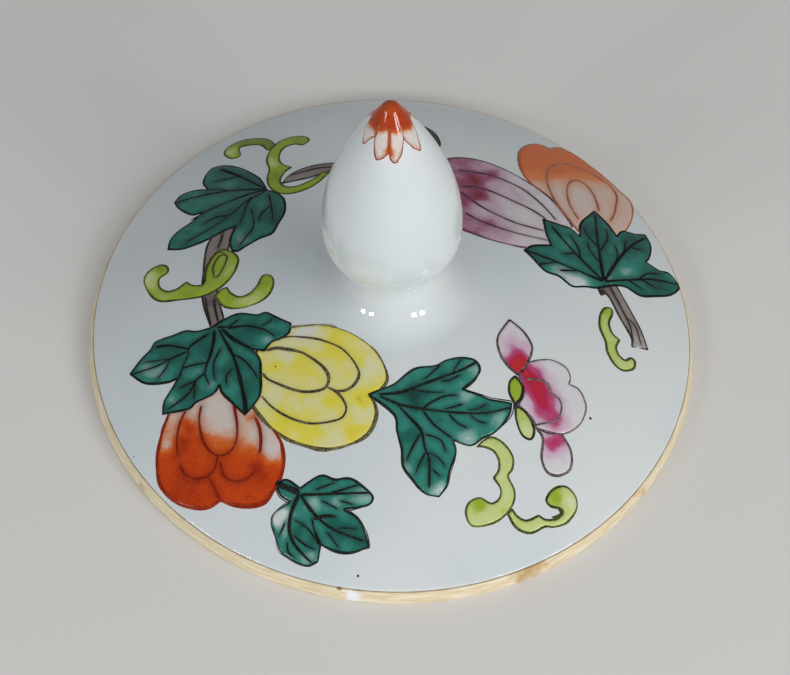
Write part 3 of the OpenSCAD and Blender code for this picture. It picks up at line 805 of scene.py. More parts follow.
def enamel_material(kind, *stops, mottle=0.18, patch=1.4, ink=(0.05, 0.05, 0.07), halo=0.5, grit=0.0,
                    rough=0.14, coat=0.15, gloss=0.5):
    """Glassy raised enamel, coloured by the tone painted on the piece through stops of (tone, r, g, b).

    mottle is how much the tone varies in clouds of patch mm, and grit how much it varies in fine grains.
    ink is the colour that darkens it along the veins, by a share halo.
    """
    n = Nodes(kind + "_enamel")
    cloud = n.swing(patch, 4, 0.6)
    tone = n.plus(n.attribute("tone"), n.times(cloud, 2 * mottle), clamp=True)
    if grit:
        tone = n.plus(tone, n.times(n.swing(0.16, 2, 0.7), 2 * grit), clamp=True)
    colour = n.ramp(tone, *stops)
    if grit > 0.1:
        dots = n.times(n.span(n.noise(0.24, 2, 0.6), 0.45, 0.68, 0.0, grit), tone)
        colour = n.mix(dots, colour, srgb(*ink))
    if halo:
        colour = n.mix(n.times(n.attribute("halo"), halo), colour, srgb(*ink))
    n.bump(n.plus(n.noise(2.2, 2), n.times(n.noise(0.5, 2), 0.25)), 0.06, 0.5)
    shine = n.span(n.noise(3, 2), 0.3, 0.7, rough, 1.7 * rough)
    return n.finish(colour, shine, IOR=1.5, Specular_IOR_Level=gloss, Coat_Weight=coat, Coat_Roughness=0.05)


def ink_material(name, thin, dense, grit=0.4):
    """Fired ink line, with little gloss of its own: grainy, and darker where the brush left more of it."""
    n = Nodes(name)
    grain = n.span(n.noise(0.18, 3, 0.7), 0.38, 0.62, -grit, grit)
    uneven = n.plus(grain, n.times(n.swing(2.5, 2), 0.9))
    load = n.plus(n.attribute("load"), uneven, clamp=True)
    colour = n.mix(load, srgb(*thin), srgb(*dense))
    n.bump(n.noise(0.3, 2), 0.02, 0.5)
    return n.finish(colour, n.span(n.noise(1.0, 2), 0.3, 0.7, 0.4, 0.55), Specular_IOR_Level=0.12)


GLAZE = glaze_material("clear_glaze")
CLAY = clay_material()
YELLOW = enamel_material(
    "yellow", (0, 0.86, 0.86, 0.82), (0.25, 0.87, 0.86, 0.64),
    (0.6, 0.89, 0.84, 0.28), (1, 0.80, 0.65, 0.10),
    mottle=0.36, patch=3.0, halo=0.2, ink=(0.55, 0.50, 0.28), grit=0.05,
)
ORANGE = enamel_material(
    "orange", (0, 0.82, 0.78, 0.75), (0.25, 0.84, 0.68, 0.59), (0.55, 0.84, 0.40, 0.12),
    (0.75, 0.80, 0.27, 0.02), (1, 0.66, 0.18, 0.005),
    patch=1.6, ink=(0.50, 0.11, 0.02), grit=0.32, coat=0.08, gloss=0.25,
)
PURPLE = enamel_material(
    "purple", (0, 0.84, 0.82, 0.83), (0.3, 0.76, 0.64, 0.70),
    (0.62, 0.58, 0.26, 0.40), (1, 0.50, 0.05, 0.12),
    mottle=0.16, patch=2.0, halo=0.25, ink=(0.34, 0.14, 0.24), grit=0.05,
)
SALMON = enamel_material(
    "salmon", (0, 0.83, 0.77, 0.74), (0.35, 0.85, 0.69, 0.59),
    (0.7, 0.87, 0.50, 0.26), (1, 0.82, 0.37, 0.10),
    mottle=0.10, patch=1.6, halo=0.4, ink=(0.76, 0.44, 0.28),
)
LEAF = enamel_material(
    "leaf", (0, 0.80, 0.84, 0.83), (0.2, 0.52, 0.69, 0.66), (0.45, 0.17, 0.52, 0.46),
    (0.7, 0.03, 0.38, 0.33), (1, 0.01, 0.20, 0.18),
    mottle=0.2, patch=2.1, halo=0.6, ink=(0.01, 0.16, 0.16), grit=0.05,
)
BRANCH = enamel_material(
    "branch", (0, 0.74, 0.72, 0.70), (0.5, 0.56, 0.51, 0.49), (1, 0.32, 0.26, 0.26),
    mottle=0.26, ink=(0.22, 0.17, 0.16),
)
TENDRIL = enamel_material(
    "tendril", (0, 0.85, 0.88, 0.76), (0.3, 0.78, 0.83, 0.52),
    (0.62, 0.60, 0.70, 0.16), (1, 0.38, 0.46, 0.05),
    mottle=0.16, patch=1.6, halo=0.25, ink=(0.20, 0.24, 0.05),
)
PETAL = enamel_material(
    "petal", (0, 0.85, 0.85, 0.86), (0.28, 0.82, 0.70, 0.78), (0.55, 0.72, 0.28, 0.47),
    (0.8, 0.72, 0.09, 0.26), (1, 0.76, 0.14, 0.13),
    mottle=0.10, patch=1.1, halo=0.25, ink=(0.40, 0.10, 0.18), grit=0.08,
)
RED = enamel_material(
    "red", (0, 0.84, 0.81, 0.79), (0.3, 0.83, 0.66, 0.56),
    (0.6, 0.74, 0.34, 0.10), (1, 0.66, 0.20, 0.005),
    mottle=0.12, patch=0.9, halo=0, rough=0.06, coat=0.4, gloss=0.35,
)

BLACK_INK = ink_material("black_ink", (0.40, 0.38, 0.33), (0.05, 0.05, 0.05))
OLIVE_INK = ink_material("olive_ink", (0.50, 0.52, 0.26), (0.10, 0.12, 0.05))
MELON_INK = ink_material("melon_ink", (0.64, 0.60, 0.42), (0.15, 0.13, 0.10), 0.5)
LEAF_INK = ink_material("leaf_ink", (0.24, 0.28, 0.25), (0.02, 0.035, 0.03), 0.5)
RED_INK = ink_material("red_ink", (0.74, 0.32, 0.16), (0.50, 0.11, 0.02), 0.3)
SALMON_INK = ink_material("salmon_ink", (0.80, 0.58, 0.48), (0.52, 0.23, 0.12), 0.2)
ROSE_INK = ink_material("rose_ink", (0.58, 0.44, 0.50), (0.20, 0.07, 0.11), 0.3)
PETAL_INK = ink_material("petal_ink", (0.62, 0.54, 0.54), (0.14, 0.09, 0.09), 0.5)
BROWN_INK = ink_material("brown_ink", (0.78, 0.60, 0.52), (0.60, 0.26, 0.09), 0.2)
SPECK = ink_material("iron_speck", (0.45, 0.35, 0.28), (0.16, 0.10, 0.07))

# each kind of enamel on the dome, with the ink drawn on it
KINDS = {
    "yellow": (YELLOW, MELON_INK),
    "orange": (ORANGE, RED_INK),
    "purple": (PURPLE, ROSE_INK),
    "salmon": (SALMON, SALMON_INK),
    "leaf": (LEAF, LEAF_INK),
    "branch": (BRANCH, BLACK_INK),
    "tendril": (TENDRIL, OLIVE_INK),
    "petal": (PETAL, PETAL_INK),
}

# ---------------------------------------------------------------- turned pieces


def glaze_skin():
    """One coat of glaze over dome, neck and bud, with a rounded edge above the rim."""
    nose = GLAZE_T / 2
    edge_z = DOME_C + math.sqrt((DOME_R - nose) ** 2 - GLAZE_EDGE_R ** 2)
    slope = math.asin(GLAZE_EDGE_R / DOME_R)
    line = finial_profile(0)
    line += sphere_profile(DOME_C, DOME_R, FILLET_EDGE_R + 0.3, GLAZE_EDGE_R - 0.1, 110)
    line += arc(GLAZE_EDGE_R - 0.1, edge_z, nose, math.pi / 2 - slope, -math.pi / 2 - slope, 6)[1:-1]
    line += sphere_profile(DOME_C, DOME_R - GLAZE_T, GLAZE_EDGE_R - 0.2, FILLET_EDGE_R + 0.3, 30)
    line += finial_profile(-GLAZE_T)[::-2]
    if line[-1][0] > 0:
        line.append((0, TIP_Z + TIP_R - GLAZE_T))
    skin = lathe("glaze_skin", line, 256, lean=True)
    dress(skin, GLAZE, "clear_glaze", "dome_glaze", "neck_glaze", "bud_glaze")


def clay_dome():
    """The thrown dome: hollow inside, a flat ring to stand on and a grooved rim band."""
    under = DOME_R - GLAZE_T - GAP
    corner = 0.4
    band_steps = 19
    line = [(0, HOLLOW_H)]
    line += sphere_profile(HOLLOW_C, HOLLOW_R, 0, FOOT_R, 60)[1:]
    line += [(FOOT_R + 0.25, 0), (LID_R - 0.55, 0)]
    line += arc(LID_R - corner, corner, corner, -math.pi / 2, 0, 5)[1:]
    for k in range(1, band_steps):
        share = k / band_steps
        groove = 0.035 * math.sin(share * 6 * math.pi) - 0.03 * (k % 3 == 0)
        line.append((LID_R - 0.02 - (LID_R - RIM_TOP_R) * share + groove, corner + (RIM_H - 0.5) * share))
    line += [(RIM_TOP_R - 0.08, RIM_H - 0.03)]
    line += sphere_profile(DOME_C, under, RIM_TOP_R - 0.2, 0.5, 60)
    line.append((0, DOME_C + under))
    dress(lathe("clay_dome", line, 256), CLAY, "bare_porcelain", "dome_body")


def finial_core():
    """The clay of neck and bud under the glaze."""
    line = finial_profile(-GLAZE_T - GAP)
    line.append((0, line[-1][1]))
    dress(lathe("finial_core", line, 96, lean=True), CLAY, "bare_porcelain", "finial_neck", "finial_bud")


def underside_skin():
    """Glaze inside the hollow, with a rounded edge near the foot ring."""
    def inner(t, steps):
        return sphere_profile(HOLLOW_C, HOLLOW_R - t, 0, UNDER_EDGE_R, steps)
    line = inner(UNDER_T, 50)[:-1]
    line.append(inner(UNDER_T * 0.5, 1)[-1])
    line += inner(0.01, 30)[-2::-1]
    dress(lathe("underside_skin", line, 192), GLAZE, "clear_glaze", "underside_glaze")


glaze_skin()
clay_dome()
finial_core()
underside_skin()

# ---------------------------------------------------------------- painting the dome

AREAS = {
    "yellow_melon": Area(YELLOW_MELON, LEAF_WEST, LEAF_CENTRE),
    "orange_melon": Area(ORANGE_MELON, LEAF_WEST, YELLOW_MELON, LEAF_SOUTH),
    "purple_melon": Area(PURPLE_MELON, LEAF_EAST),
    "salmon_melon": Area(SALMON_MELON, LEAF_EAST, PURPLE_MELON),
    "leaf_north_west": Area(LEAF_NORTH_WEST),
    "leaf_west": Area(LEAF_WEST),
    "leaf_south": Area(LEAF_SOUTH),
    "leaf_centre": Area(LEAF_CENTRE),
    "leaf_east": Area(LEAF_EAST),
    "leaf_behind": Area(LEAF_BEHIND, BRANCH_NORTH_WEST),
    "branch_north_west": Area(BRANCH_NORTH_WEST, TENDRIL_NORTH_WEST, PURPLE_MELON),
    "branch_west": Area(BRANCH_WEST, TENDRIL_WEST, TENDRIL_WEST_HOOK, LEAF_NORTH_WEST, LEAF_WEST),
    "branch_east": Area(BRANCH_EAST, LEAF_EAST),
    "tendril_north_west": Area(TENDRIL_NORTH_WEST, LEAF_NORTH_WEST),
    "tendril_north_west_curl": Area(TENDRIL_NORTH_WEST_CURL, TENDRIL_NORTH_WEST),
    "tendril_west": Area(TENDRIL_WEST, LEAF_NORTH_WEST),
    "tendril_west_hook": Area(TENDRIL_WEST_HOOK, TENDRIL_WEST),
    "tendril_south": Area(TENDRIL_SOUTH, LEAF_CENTRE),
    "tendril_south_curl": Area(TENDRIL_SOUTH_CURL, TENDRIL_SOUTH),
    "tendril_east": Area(TENDRIL_EAST, BRANCH_EAST),
    "flower_upper_petal": Area(FLOWER_UPPER_PETAL, SEPAL_UPPER),
    "flower_main_petals": Area(FLOWER_MAIN_PETALS, FLOWER_UPPER_PETAL, SEPAL_UPPER, SEPAL_LOWER),
    "flower_lower_petal": Area(FLOWER_LOWER_PETAL, FLOWER_MAIN_PETALS, SEPAL_LOWER),
    "sepal_upper": Area(SEPAL_UPPER, LEAF_CENTRE),
    "sepal_lower": Area(SEPAL_LOWER, LEAF_CENTRE),
}


def coat_height(points):
    """Height of the enamels over the glaze at any points of the plane."""
    out = np.zeros(len(points))
    for area in AREAS.values():
        out = np.maximum(out, area.cover(points))
    return out


def on_coat(points, lift):
    """Places points of the plane on the painted dome, lifted by a little."""
    return np.column_stack([points, on_sphere(points, DOME_R + coat_height(points) + lift)])


def rise(value, low, high):
    """0 before low, 1 after high and smooth between them; low may be the larger one."""
    t = np.clip((value - low) / (high - low), 0, 1)
    return t * t * (3 - 2 * t)


def spot(x, y, cx, cy, r):
    """A soft round spot: 1 at its centre, fading over r."""
    return np.exp(-((x - cx) ** 2 + (y - cy) ** 2) / r ** 2)


WANDER = 0.28  # how far the painted spots stray from round


def tones(base, *spots):
    """A tone with soft, uneven spots of (x, y, radius, amount) added to it."""
    def tone(x, y):
        u = x + WANDER * np.sin(1.9 * y + 0.7 * x)
        v = y + WANDER * np.sin(1.7 * x - 0.6 * y)
        return base + 0 * x + sum(amount * spot(u, v, cx, cy, r) for cx, cy, r, amount in spots)
    return tone


POOL_W = 0.5  # width of the darker pool of enamel along a border
OUTLINE_LOAD = 0.88  # ink in an outline, as a share of the ink in the veins
DOUBLE_LOAD = 0.7  # the same for a second outline
DOUBLE_DRIFT = 0.4  # how far a second outline strays from the border


def paint(node, kind, tone, veins=(), outline=0.36, density=1.0, pool=0.12, reach=0.55, faint=(),
          double=0.0, ink=None):
    """One motif: its enamel with a painted tone, the ink veins in it and the ink round it.

    veins are (start width, end width, points). Enamel is darker within reach of a vein and, by pool, at its
    border. outline is the width of the ink round it, and faint are (x, y, radius, amount) where that fades.
    double is the width of a second, looser line. ink takes the place of the kind's own ink.
    """
    area = AREAS[node]
    enamel, kind_ink = KINDS[kind]
    slot = kind + "_enamel"
    x, y = area.points[:, 0], area.points[:, 1]
    shade = tone(x, y) + pool * np.exp(-(area.edge / POOL_W) ** 2)
    halo = np.zeros(len(x))
    for wide0, wide1, points in veins:
        path = resample(smooth(points, 8, False), 2 * INK_STEP)
        gap = distance(area.points, path[:-1], path[1:])
        halo = np.maximum(halo, np.exp(-(gap / reach) ** 2))
    piece = enamel_piece(node + "_enamel", area, {"tone": np.clip(shade, 0, 1), "halo": halo})
    dress(piece, enamel, slot, node)
    lines = Ink()
    lines.seed = 17 * len(node) + ord(node[-1])
    lines.outline(area, outline, OUTLINE_LOAD * density, faint)
    if double:
        lines.outline(area, double, DOUBLE_LOAD * density, faint, DOUBLE_DRIFT)
    for wide0, wide1, points in veins:
        lines.stroke(points, wide0, wide1, density)
    lines.piece(node + "_ink", ink or kind_ink, slot)


paint(
    "yellow_melon", "yellow",
    tones(
        0.4, (-13.4, -9.8, 2.4, -0.4), (-9.3, -11.2, 2.0, 0.22), (-10.2, -14, 1.5, 0.15),
        (-13.6, -16.4, 2.0, 0.25), (-17.2, -16, 1.6, 0.15), (-8, -21.6, 1.4, 0.25),
        (-15.3, -25.3, 2.0, 0.25), (-11.9, -27.5, 1.7, 0.2), (-4.4, -21.6, 1.0, 0.36),
        (-2.6, -20.2, 0.9, 0.35), (-5, -26.5, 1.3, 0.3), (-4.6, -15, 1.3, 0.2), (-16.8, -13.9, 1.4, -0.2),
        (-3, -15.8, 1.4, -0.15),
    ),
    [
        (0.35, 0.55, [[-17.3, -11], [-15.5, -10.8], [-12, -11.2], [-10, -11.8], [-8, -12.7], [-6.5, -14],
            [-5.2, -15.8], [-4.7, -17.3], [-5.3, -18.9], [-6.5, -19.9], [-8, -20.1], [-9.3, -19.6]]),
        (0.6, 0.5, [[-19.5, -13.2], [-18, -12.8], [-16, -13.1], [-14, -13.6], [-12, -14.8], [-10.3, -16.2],
            [-9.4, -17.7], [-9.5, -19.2], [-10.5, -20], [-12.5, -20.3], [-14.5, -20], [-17, -19],
            [-18.8, -18.1], [-19.7, -17.1]]),
        (0.5, 0.4, [[-9.5, -19.5], [-8.2, -20.1], [-7, -21.3], [-6.3, -22.8], [-6.7, -24.2], [-8, -24.9],
            [-11, -25.4], [-13.5, -25], [-16, -23.9], [-18, -22.5], [-19.5, -20.9]]),
    ],
    outline=0.42, density=0.85, double=0.26,
    faint=[(-11.5, -9.2, 3.4, 0.7), (-3.2, -13.5, 2.4, 0.4), (-16, -9.5, 2, 0.3)],
)

orange_spots = tones(
    0.05, (-17.1, -29.4, 1.9, -0.6), (-19.8, -26.5, 1.5, -0.3), (-30.4, -25, 1.5, 0.5),
    (-30.6, -27.6, 1.5, 0.3), (-20.7, -24.6, 1.1, 0.45), (-33.8, -27.6, 1.4, -0.45),
    (-25, -24.6, 1.8, -0.3), (-30, -35, 3, 0.15), (-18.8, -32.2, 1.6, 0.25), (-28.4, -27.5, 1.2, 0.15),
    (-27.3, -22.5, 1.4, -0.1),
)
paint(
    "orange_melon", "orange",
    lambda x, y: orange_spots(x, y) + 0.74 * rise(y + 0.2 * (x + 26), -22.5, -31.5),
    [
        (0.45, 0.5, [[-28.9, -22], [-29, -24], [-28.6, -26], [-27.8, -28], [-26.5, -29.5], [-25, -30.1],
            [-23.4, -29.3], [-22.8, -27.5], [-23, -25], [-23.8, -22]]),
        (0.4, 0.5, [[-31.3, -31], [-30.3, -32.6], [-28.5, -33.4], [-26.6, -33], [-25.6, -31.5],
            [-25.5, -30]]),
        (0.5, 0.4, [[-25, -31], [-24.3, -33], [-22.8, -34], [-20.8, -33.8], [-19.3, -32.5]]),
        (0.4, 0.45, [[-31.3, -22.5], [-32, -24.5], [-32.2, -27], [-31.8, -29.5]]),
        (0.5, 0.6, [[-20.2, -24.3], [-19.4, -26], [-19, -28], [-19, -30]]),
        (0.4, 0.55, [[-26.6, -33.2], [-25.6, -34.8], [-24.6, -36.6]]),
    ],
    outline=0.48, double=0.24, reach=0.7,
)

purple_spots = tones(
    0.07, (13.1, 21.2, 1.6, 0.6), (12.1, 24.8, 1.6, 0.5), (15.6, 26.9, 2.0, 0.35), (17.6, 13.5, 2.0, 0.22),
    (14.6, 14.2, 1.8, 0.22), (13.5, 17.4, 1.6, -0.2), (19.5, 22.6, 1.8, 0.14), (10.5, 19, 1.4, 0.1),
)
paint(
    "purple_melon", "purple", lambda x, y: purple_spots(x, y) + 0.44 * rise(x, 20, 9.5),
    [
        (0.5, 0.34, [[10, 21.3], [12, 19.5], [14, 18], [17, 16.5], [20, 15.5], [24.3, 15]]),
        (0.44, 0.34, [[10.8, 16.3], [13, 15], [16, 14], [20, 13.2], [25, 12.9]]),
        (0.55, 0.36, [[10, 22.7], [13, 23], [16, 22.2], [19, 20.9], [22, 19.6], [24.5, 18]]),
        (0.55, 0.36, [[9.5, 27], [12, 27], [15, 26.8], [18, 25.8], [21, 24.2], [24, 21.3], [26.3, 18.2]]),
    ],
    outline=0.4, density=0.75, faint=[(18, 10.8, 5, 0.4)],
)

salmon_spots = tones(
    0.16, (30.5, 25, 3, -0.1), (24, 28, 1.8, 0.18), (37.5, 26, 2.5, 0.1), (27.5, 31, 1.6, 0.12),
)
paint(
    "salmon_melon", "salmon", lambda x, y: salmon_spots(x, y) + 0.72 * rise(y + 0.3 * (30 - x), 26.5, 34),
    [
        (0.45, 0.5, [[30.3, 19.7], [29, 22.5], [28.5, 26], [29, 29], [30.5, 30.3], [32.2, 29.5], [33.4, 27],
            [34, 24], [33.9, 23]]),
        (0.5, 0.55, [[28.6, 18.5], [26.8, 22], [25.6, 25], [25, 28], [25.2, 31], [26.3, 33], [28.3, 34.5],
            [31, 34.3], [34, 33.2], [36.5, 31.5], [37.6, 29], [37.3, 26], [36.8, 23.5], [36, 21.3]]),
    ],
    outline=0.36, density=0.6, pool=0.15, reach=0.8,
)

paint(
    "leaf_north_west", "leaf",
    tones(
        0.56, (-26.3, 24.6, 2.2, 0.2), (-28.6, 14.9, 1.8, 0.15), (-21.4, 13.4, 1.8, 0.12),
        (-31.4, 26.3, 1.4, 0.15), (-25.5, 8.9, 1.7, -0.35), (-35.1, 20.8, 1.5, -0.22),
        (-33, 11.5, 1.5, -0.18), (-30, 22.4, 1.4, -0.18), (-23.5, 12, 1.2, -0.2), (-29.5, 18.2, 1.3, -0.12),
    ),
    [
        (0.5, 0.3, [[-22.5, 20.5], [-25, 20], [-28.5, 18.5], [-32, 16.8], [-35, 15]]),
        (0.5, 0.7, [[-22.5, 20.5], [-25, 22.5], [-28, 25], [-31.5, 27.5]]),
        (0.5, 0.35, [[-22.5, 20.5], [-26, 21], [-32, 21], [-38, 20]]),
        (0.4, 0.25, [[-28, 24.8], [-30, 24.4], [-32.5, 24]]),
        (0.45, 0.3, [[-23, 20], [-25.3, 18.2], [-26, 15], [-26.4, 12.6]]),
        (0.4, 0.25, [[-25, 19], [-28.5, 14.8], [-31, 12.5], [-35, 9.8]]),
        (0.4, 0.25, [[-22.2, 19.4], [-21.3, 15.5], [-20.9, 12.8]]),
        (0.4, 0.25, [[-24.8, 16], [-24, 12], [-25, 9.5], [-26, 7.6]]),
        (0.4, 0.25, [[-28.5, 14.8], [-30.5, 14.8], [-32.6, 13.6]]),
        (0.4, 0.25, [[-29, 21], [-31.5, 22], [-33.5, 21.8]]),
        (0.4, 0.25, [[-21.6, 16.5], [-23, 14.6], [-23.2, 13]]),
    ],
    outline=0.4, density=0.85, reach=1.1,
)

paint(
    "leaf_west", "leaf",
    tones(
        0.56, (-29.3, -11.6, 1.5, 0.22), (-34.9, -12.2, 1.7, 0.18), (-22.8, -9.6, 1.9, 0.22),
        (-24.9, -16.3, 1.6, 0.15), (-31.3, -18.7, 1.3, 0.18), (-21.8, -19.4, 1.3, 0.18),
        (-36.3, -15.4, 1.6, -0.34), (-30.5, -15.8, 1.4, -0.2), (-27.4, -18.3, 1.0, -0.28),
        (-33.9, -20.6, 1.2, -0.26), (-38.6, -14.8, 1.5, -0.28), (-19.2, -11.4, 1.2, -0.32),
        (-24.2, -19.4, 1.3, -0.18), (-26.5, -13.5, 1.2, -0.1),
    ),
    [
        (0.6, 0.4, [[-28.2, -9], [-28.1, -11], [-28.3, -13], [-28.8, -15.2], [-29, -16.5], [-30.2, -17.6],
            [-31, -19.5], [-32.5, -20.9], [-34.2, -22]]),
        (0.35, 0.28, [[-30.3, -17.6], [-30.2, -20.8]]), (0.35, 0.28, [[-30, -17.5], [-32.8, -18.7]]),
        (0.35, 0.28, [[-29, -16.5], [-28, -18.5]]),
        (0.5, 0.32, [[-29, -9.5], [-31.8, -11.5], [-32, -13], [-32.6, -15], [-33, -17]]),
        (0.35, 0.8, [[-31.9, -12], [-33.5, -11.5], [-35.5, -10.9], [-37.5, -10.9]]),
        (0.5, 0.35, [[-32.3, -12.4], [-34.8, -13.4], [-37, -14.4], [-40.8, -15.2]]),
        (0.35, 0.28, [[-34.8, -13.4], [-38.8, -13.4]]),
        (0.35, 0.28, [[-34.8, -13.5], [-35.5, -15.2], [-36.5, -16.6]]),
        (0.3, 0.35, [[-32.6, -15.3], [-31, -14.9], [-28.8, -14.7]]),
        (0.65, 0.6, [[-27, -8.8], [-25, -10.8], [-21.8, -12.8]]),
        (0.5, 0.35, [[-27.8, -8.4], [-26, -8.5], [-24.5, -7.3]]),
        (0.5, 0.35, [[-26, -8.8], [-23, -8.6], [-20, -9.5], [-18.3, -10.8]]),
        (0.35, 0.28, [[-20.5, -8.7], [-19, -7.5]]),
        (0.5, 0.8, [[-27.5, -8.8], [-26.3, -11], [-25, -13.2], [-24, -15.5], [-23, -18.5], [-22, -22],
            [-21.9, -23.6]]),
        (0.35, 0.28, [[-24.8, -13.5], [-23, -14.6], [-21.3, -16.5], [-20.4, -18]]),
        (0.35, 0.28, [[-26.8, -12.5], [-27.6, -14.5], [-27.5, -16.5], [-27.1, -17.8]]),
        (0.3, 0.25, [[-24.5, -16], [-25.4, -17.2], [-25.2, -18.8]]),
    ],
    outline=0.42, reach=0.7,
)

paint(
    "leaf_south", "leaf",
    tones(
        0.5, (-15.6, -39.2, 1.7, -0.6), (-2.6, -36.1, 1.7, -0.4), (-10.5, -37.8, 1.3, -0.25),
        (-10.5, -45.3, 1.4, -0.35), (-14.7, -41, 1.3, -0.25), (-6.3, -40.7, 1.7, 0.25),
        (-12.3, -41.6, 1.3, 0.2), (-9.8, -43.2, 1.1, 0.12), (-3.3, -42, 1.6, 0.2), (-9.9, -34.7, 1.2, 0.1),
        (-6.8, -37.4, 1.4, -0.2),
    ),
    [
        (0.6, 0.4, [[-12.3, -36.2], [-8, -36], [-2, -35.6]]), (0.5, 0.4, [[-8, -36], [-3.3, -34.4]]),
        (0.65, 0.45, [[-12.3, -36.2], [-9.9, -39], [-7, -41], [-2.3, -42.5]]),
        (0.7, 0.35, [[-12.5, -36.2], [-13.4, -38.5], [-13.6, -41], [-12.8, -43], [-11, -44.8],
            [-9.8, -45.7]]),
        (0.35, 0.3, [[-10, -35.4], [-7.2, -34.3]]), (0.35, 0.3, [[-9, -37], [-6.5, -38.1]]),
        (0.35, 0.3, [[-6.2, -36.9], [-4.3, -37.4]]),
        (0.35, 0.3, [[-10.3, -39.5], [-9.8, -41.2], [-8.7, -42.9]]),
        (0.35, 0.3, [[-12.8, -39.8], [-10.8, -41], [-9.6, -42.4]]),
        (0.35, 0.3, [[-12.8, -42], [-11, -43.3], [-9.4, -43.9]]), (0.35, 0.3, [[-14.3, -40.2], [-15, -42]]),
        (0.35, 0.3, [[-13.7, -43], [-13.5, -44.2], [-12.7, -44.9]]),
        (0.3, 0.28, [[-6, -40.8], [-3.5, -40.8]]), (0.3, 0.28, [[-7.9, -41.4], [-6, -43.5]]),
        (1.3, 1.0, [[-16.2, -34.5], [-14.2, -35.2], [-12.4, -36]]),
        (0.7, 0.5, [[-10, -39.6], [-8.4, -39.2], [-6.7, -39.2]]),
        (0.7, 0.6, [[-8.8, -43.2], [-9.4, -42.2], [-9.6, -41.4]]),
    ],
    outline=0.36, density=0.85, reach=0.5, double=0.2,
    faint=[(-16.4, -38.8, 3, 0.85), (-15.6, -43.3, 3, 0.7), (-11, -46, 2, 0.4)],
)

paint(
    "leaf_centre", "leaf",
    tones(
        0.46, (13.6, -14.8, 1.6, -0.3), (12.7, -26.7, 1.7, -0.34), (8.7, -34.6, 1.6, -0.38),
        (11.9, -19, 1.4, -0.25), (17.9, -23.4, 1.7, -0.3), (3, -31.2, 1.2, -0.2), (4.1, -20.4, 2.0, 0.45),
        (6.7, -30.3, 1.5, 0.25), (8.3, -17, 1.5, 0.18), (15, -21.1, 1.4, 0.18), (3.7, -26.7, 1.5, 0.3),
        (8, -23.6, 1.4, 0.12),
    ),
    [
        (0.6, 0.6, [[-1.5, -20.4], [2, -19.8], [5, -18.3], [8, -16.8], [11, -15.2], [13.4, -13.5]]),
        (0.5, 0.4, [[-1.2, -20.7], [1.5, -21.7], [3, -22], [5.2, -22.2], [10, -22.3], [15, -21.8],
            [19, -20.3]]),
        (0.4, 0.32, [[5.4, -22.3], [6.5, -21.2], [8.3, -20], [9.5, -19.6], [10.7, -19.4]]),
        (0.45, 0.34, [[5.5, -22.5], [7, -24.3], [8.8, -25.6], [10.2, -26.4]]),
        (0.5, 0.5, [[1, -21.3], [3, -23.3], [4.8, -25], [5.5, -26], [6, -28], [6.8, -30], [7, -32.5],
            [7, -34.2]]),
        (0.34, 0.26, [[7.8, -14.7], [6.5, -16.2], [5.3, -17.5]]),
        (0.34, 0.26, [[11, -13.3], [10.2, -14.8], [9.8, -15.8]]),
        (0.5, 0.3, [[10.9, -16], [9.5, -17], [8.2, -17.4]]),
        (0.34, 0.26, [[3.5, -19.2], [6, -19.4], [8.5, -19.2]]),
        (0.45, 0.3, [[11.5, -20.8], [10.2, -21.4], [8.8, -21.9]]),
        (0.34, 0.26, [[15.2, -20.3], [14, -21.2], [12.5, -21.6]]),
        (0.34, 0.26, [[9.5, -22.6], [10.7, -23.8], [12.4, -24.5]]),
        (0.34, 0.26, [[12.8, -22.4], [14, -23.2], [15.3, -23.4]]),
        (0.4, 0.3, [[5.4, -26], [4.6, -27.5], [4, -28.8], [3.4, -30.5]]),
        (0.34, 0.26, [[6.2, -29], [5.4, -30.8], [4.9, -32.3]]),
        (0.4, 0.3, [[6.8, -29], [8.2, -29.6], [9.3, -30.8]]), (0.34, 0.26, [[7.4, -31.5], [8.6, -32.3]]),
        (0.34, 0.26, [[6, -26.2], [8.3, -26.8], [9.3, -28.5]]),
    ],
    outline=0.36, density=0.8, reach=0.55, double=0.2,
    faint=[(12.5, -26.4, 3, 0.5), (6.5, -35.2, 2, 0.4), (17.5, -24, 2, 0.4)],
)

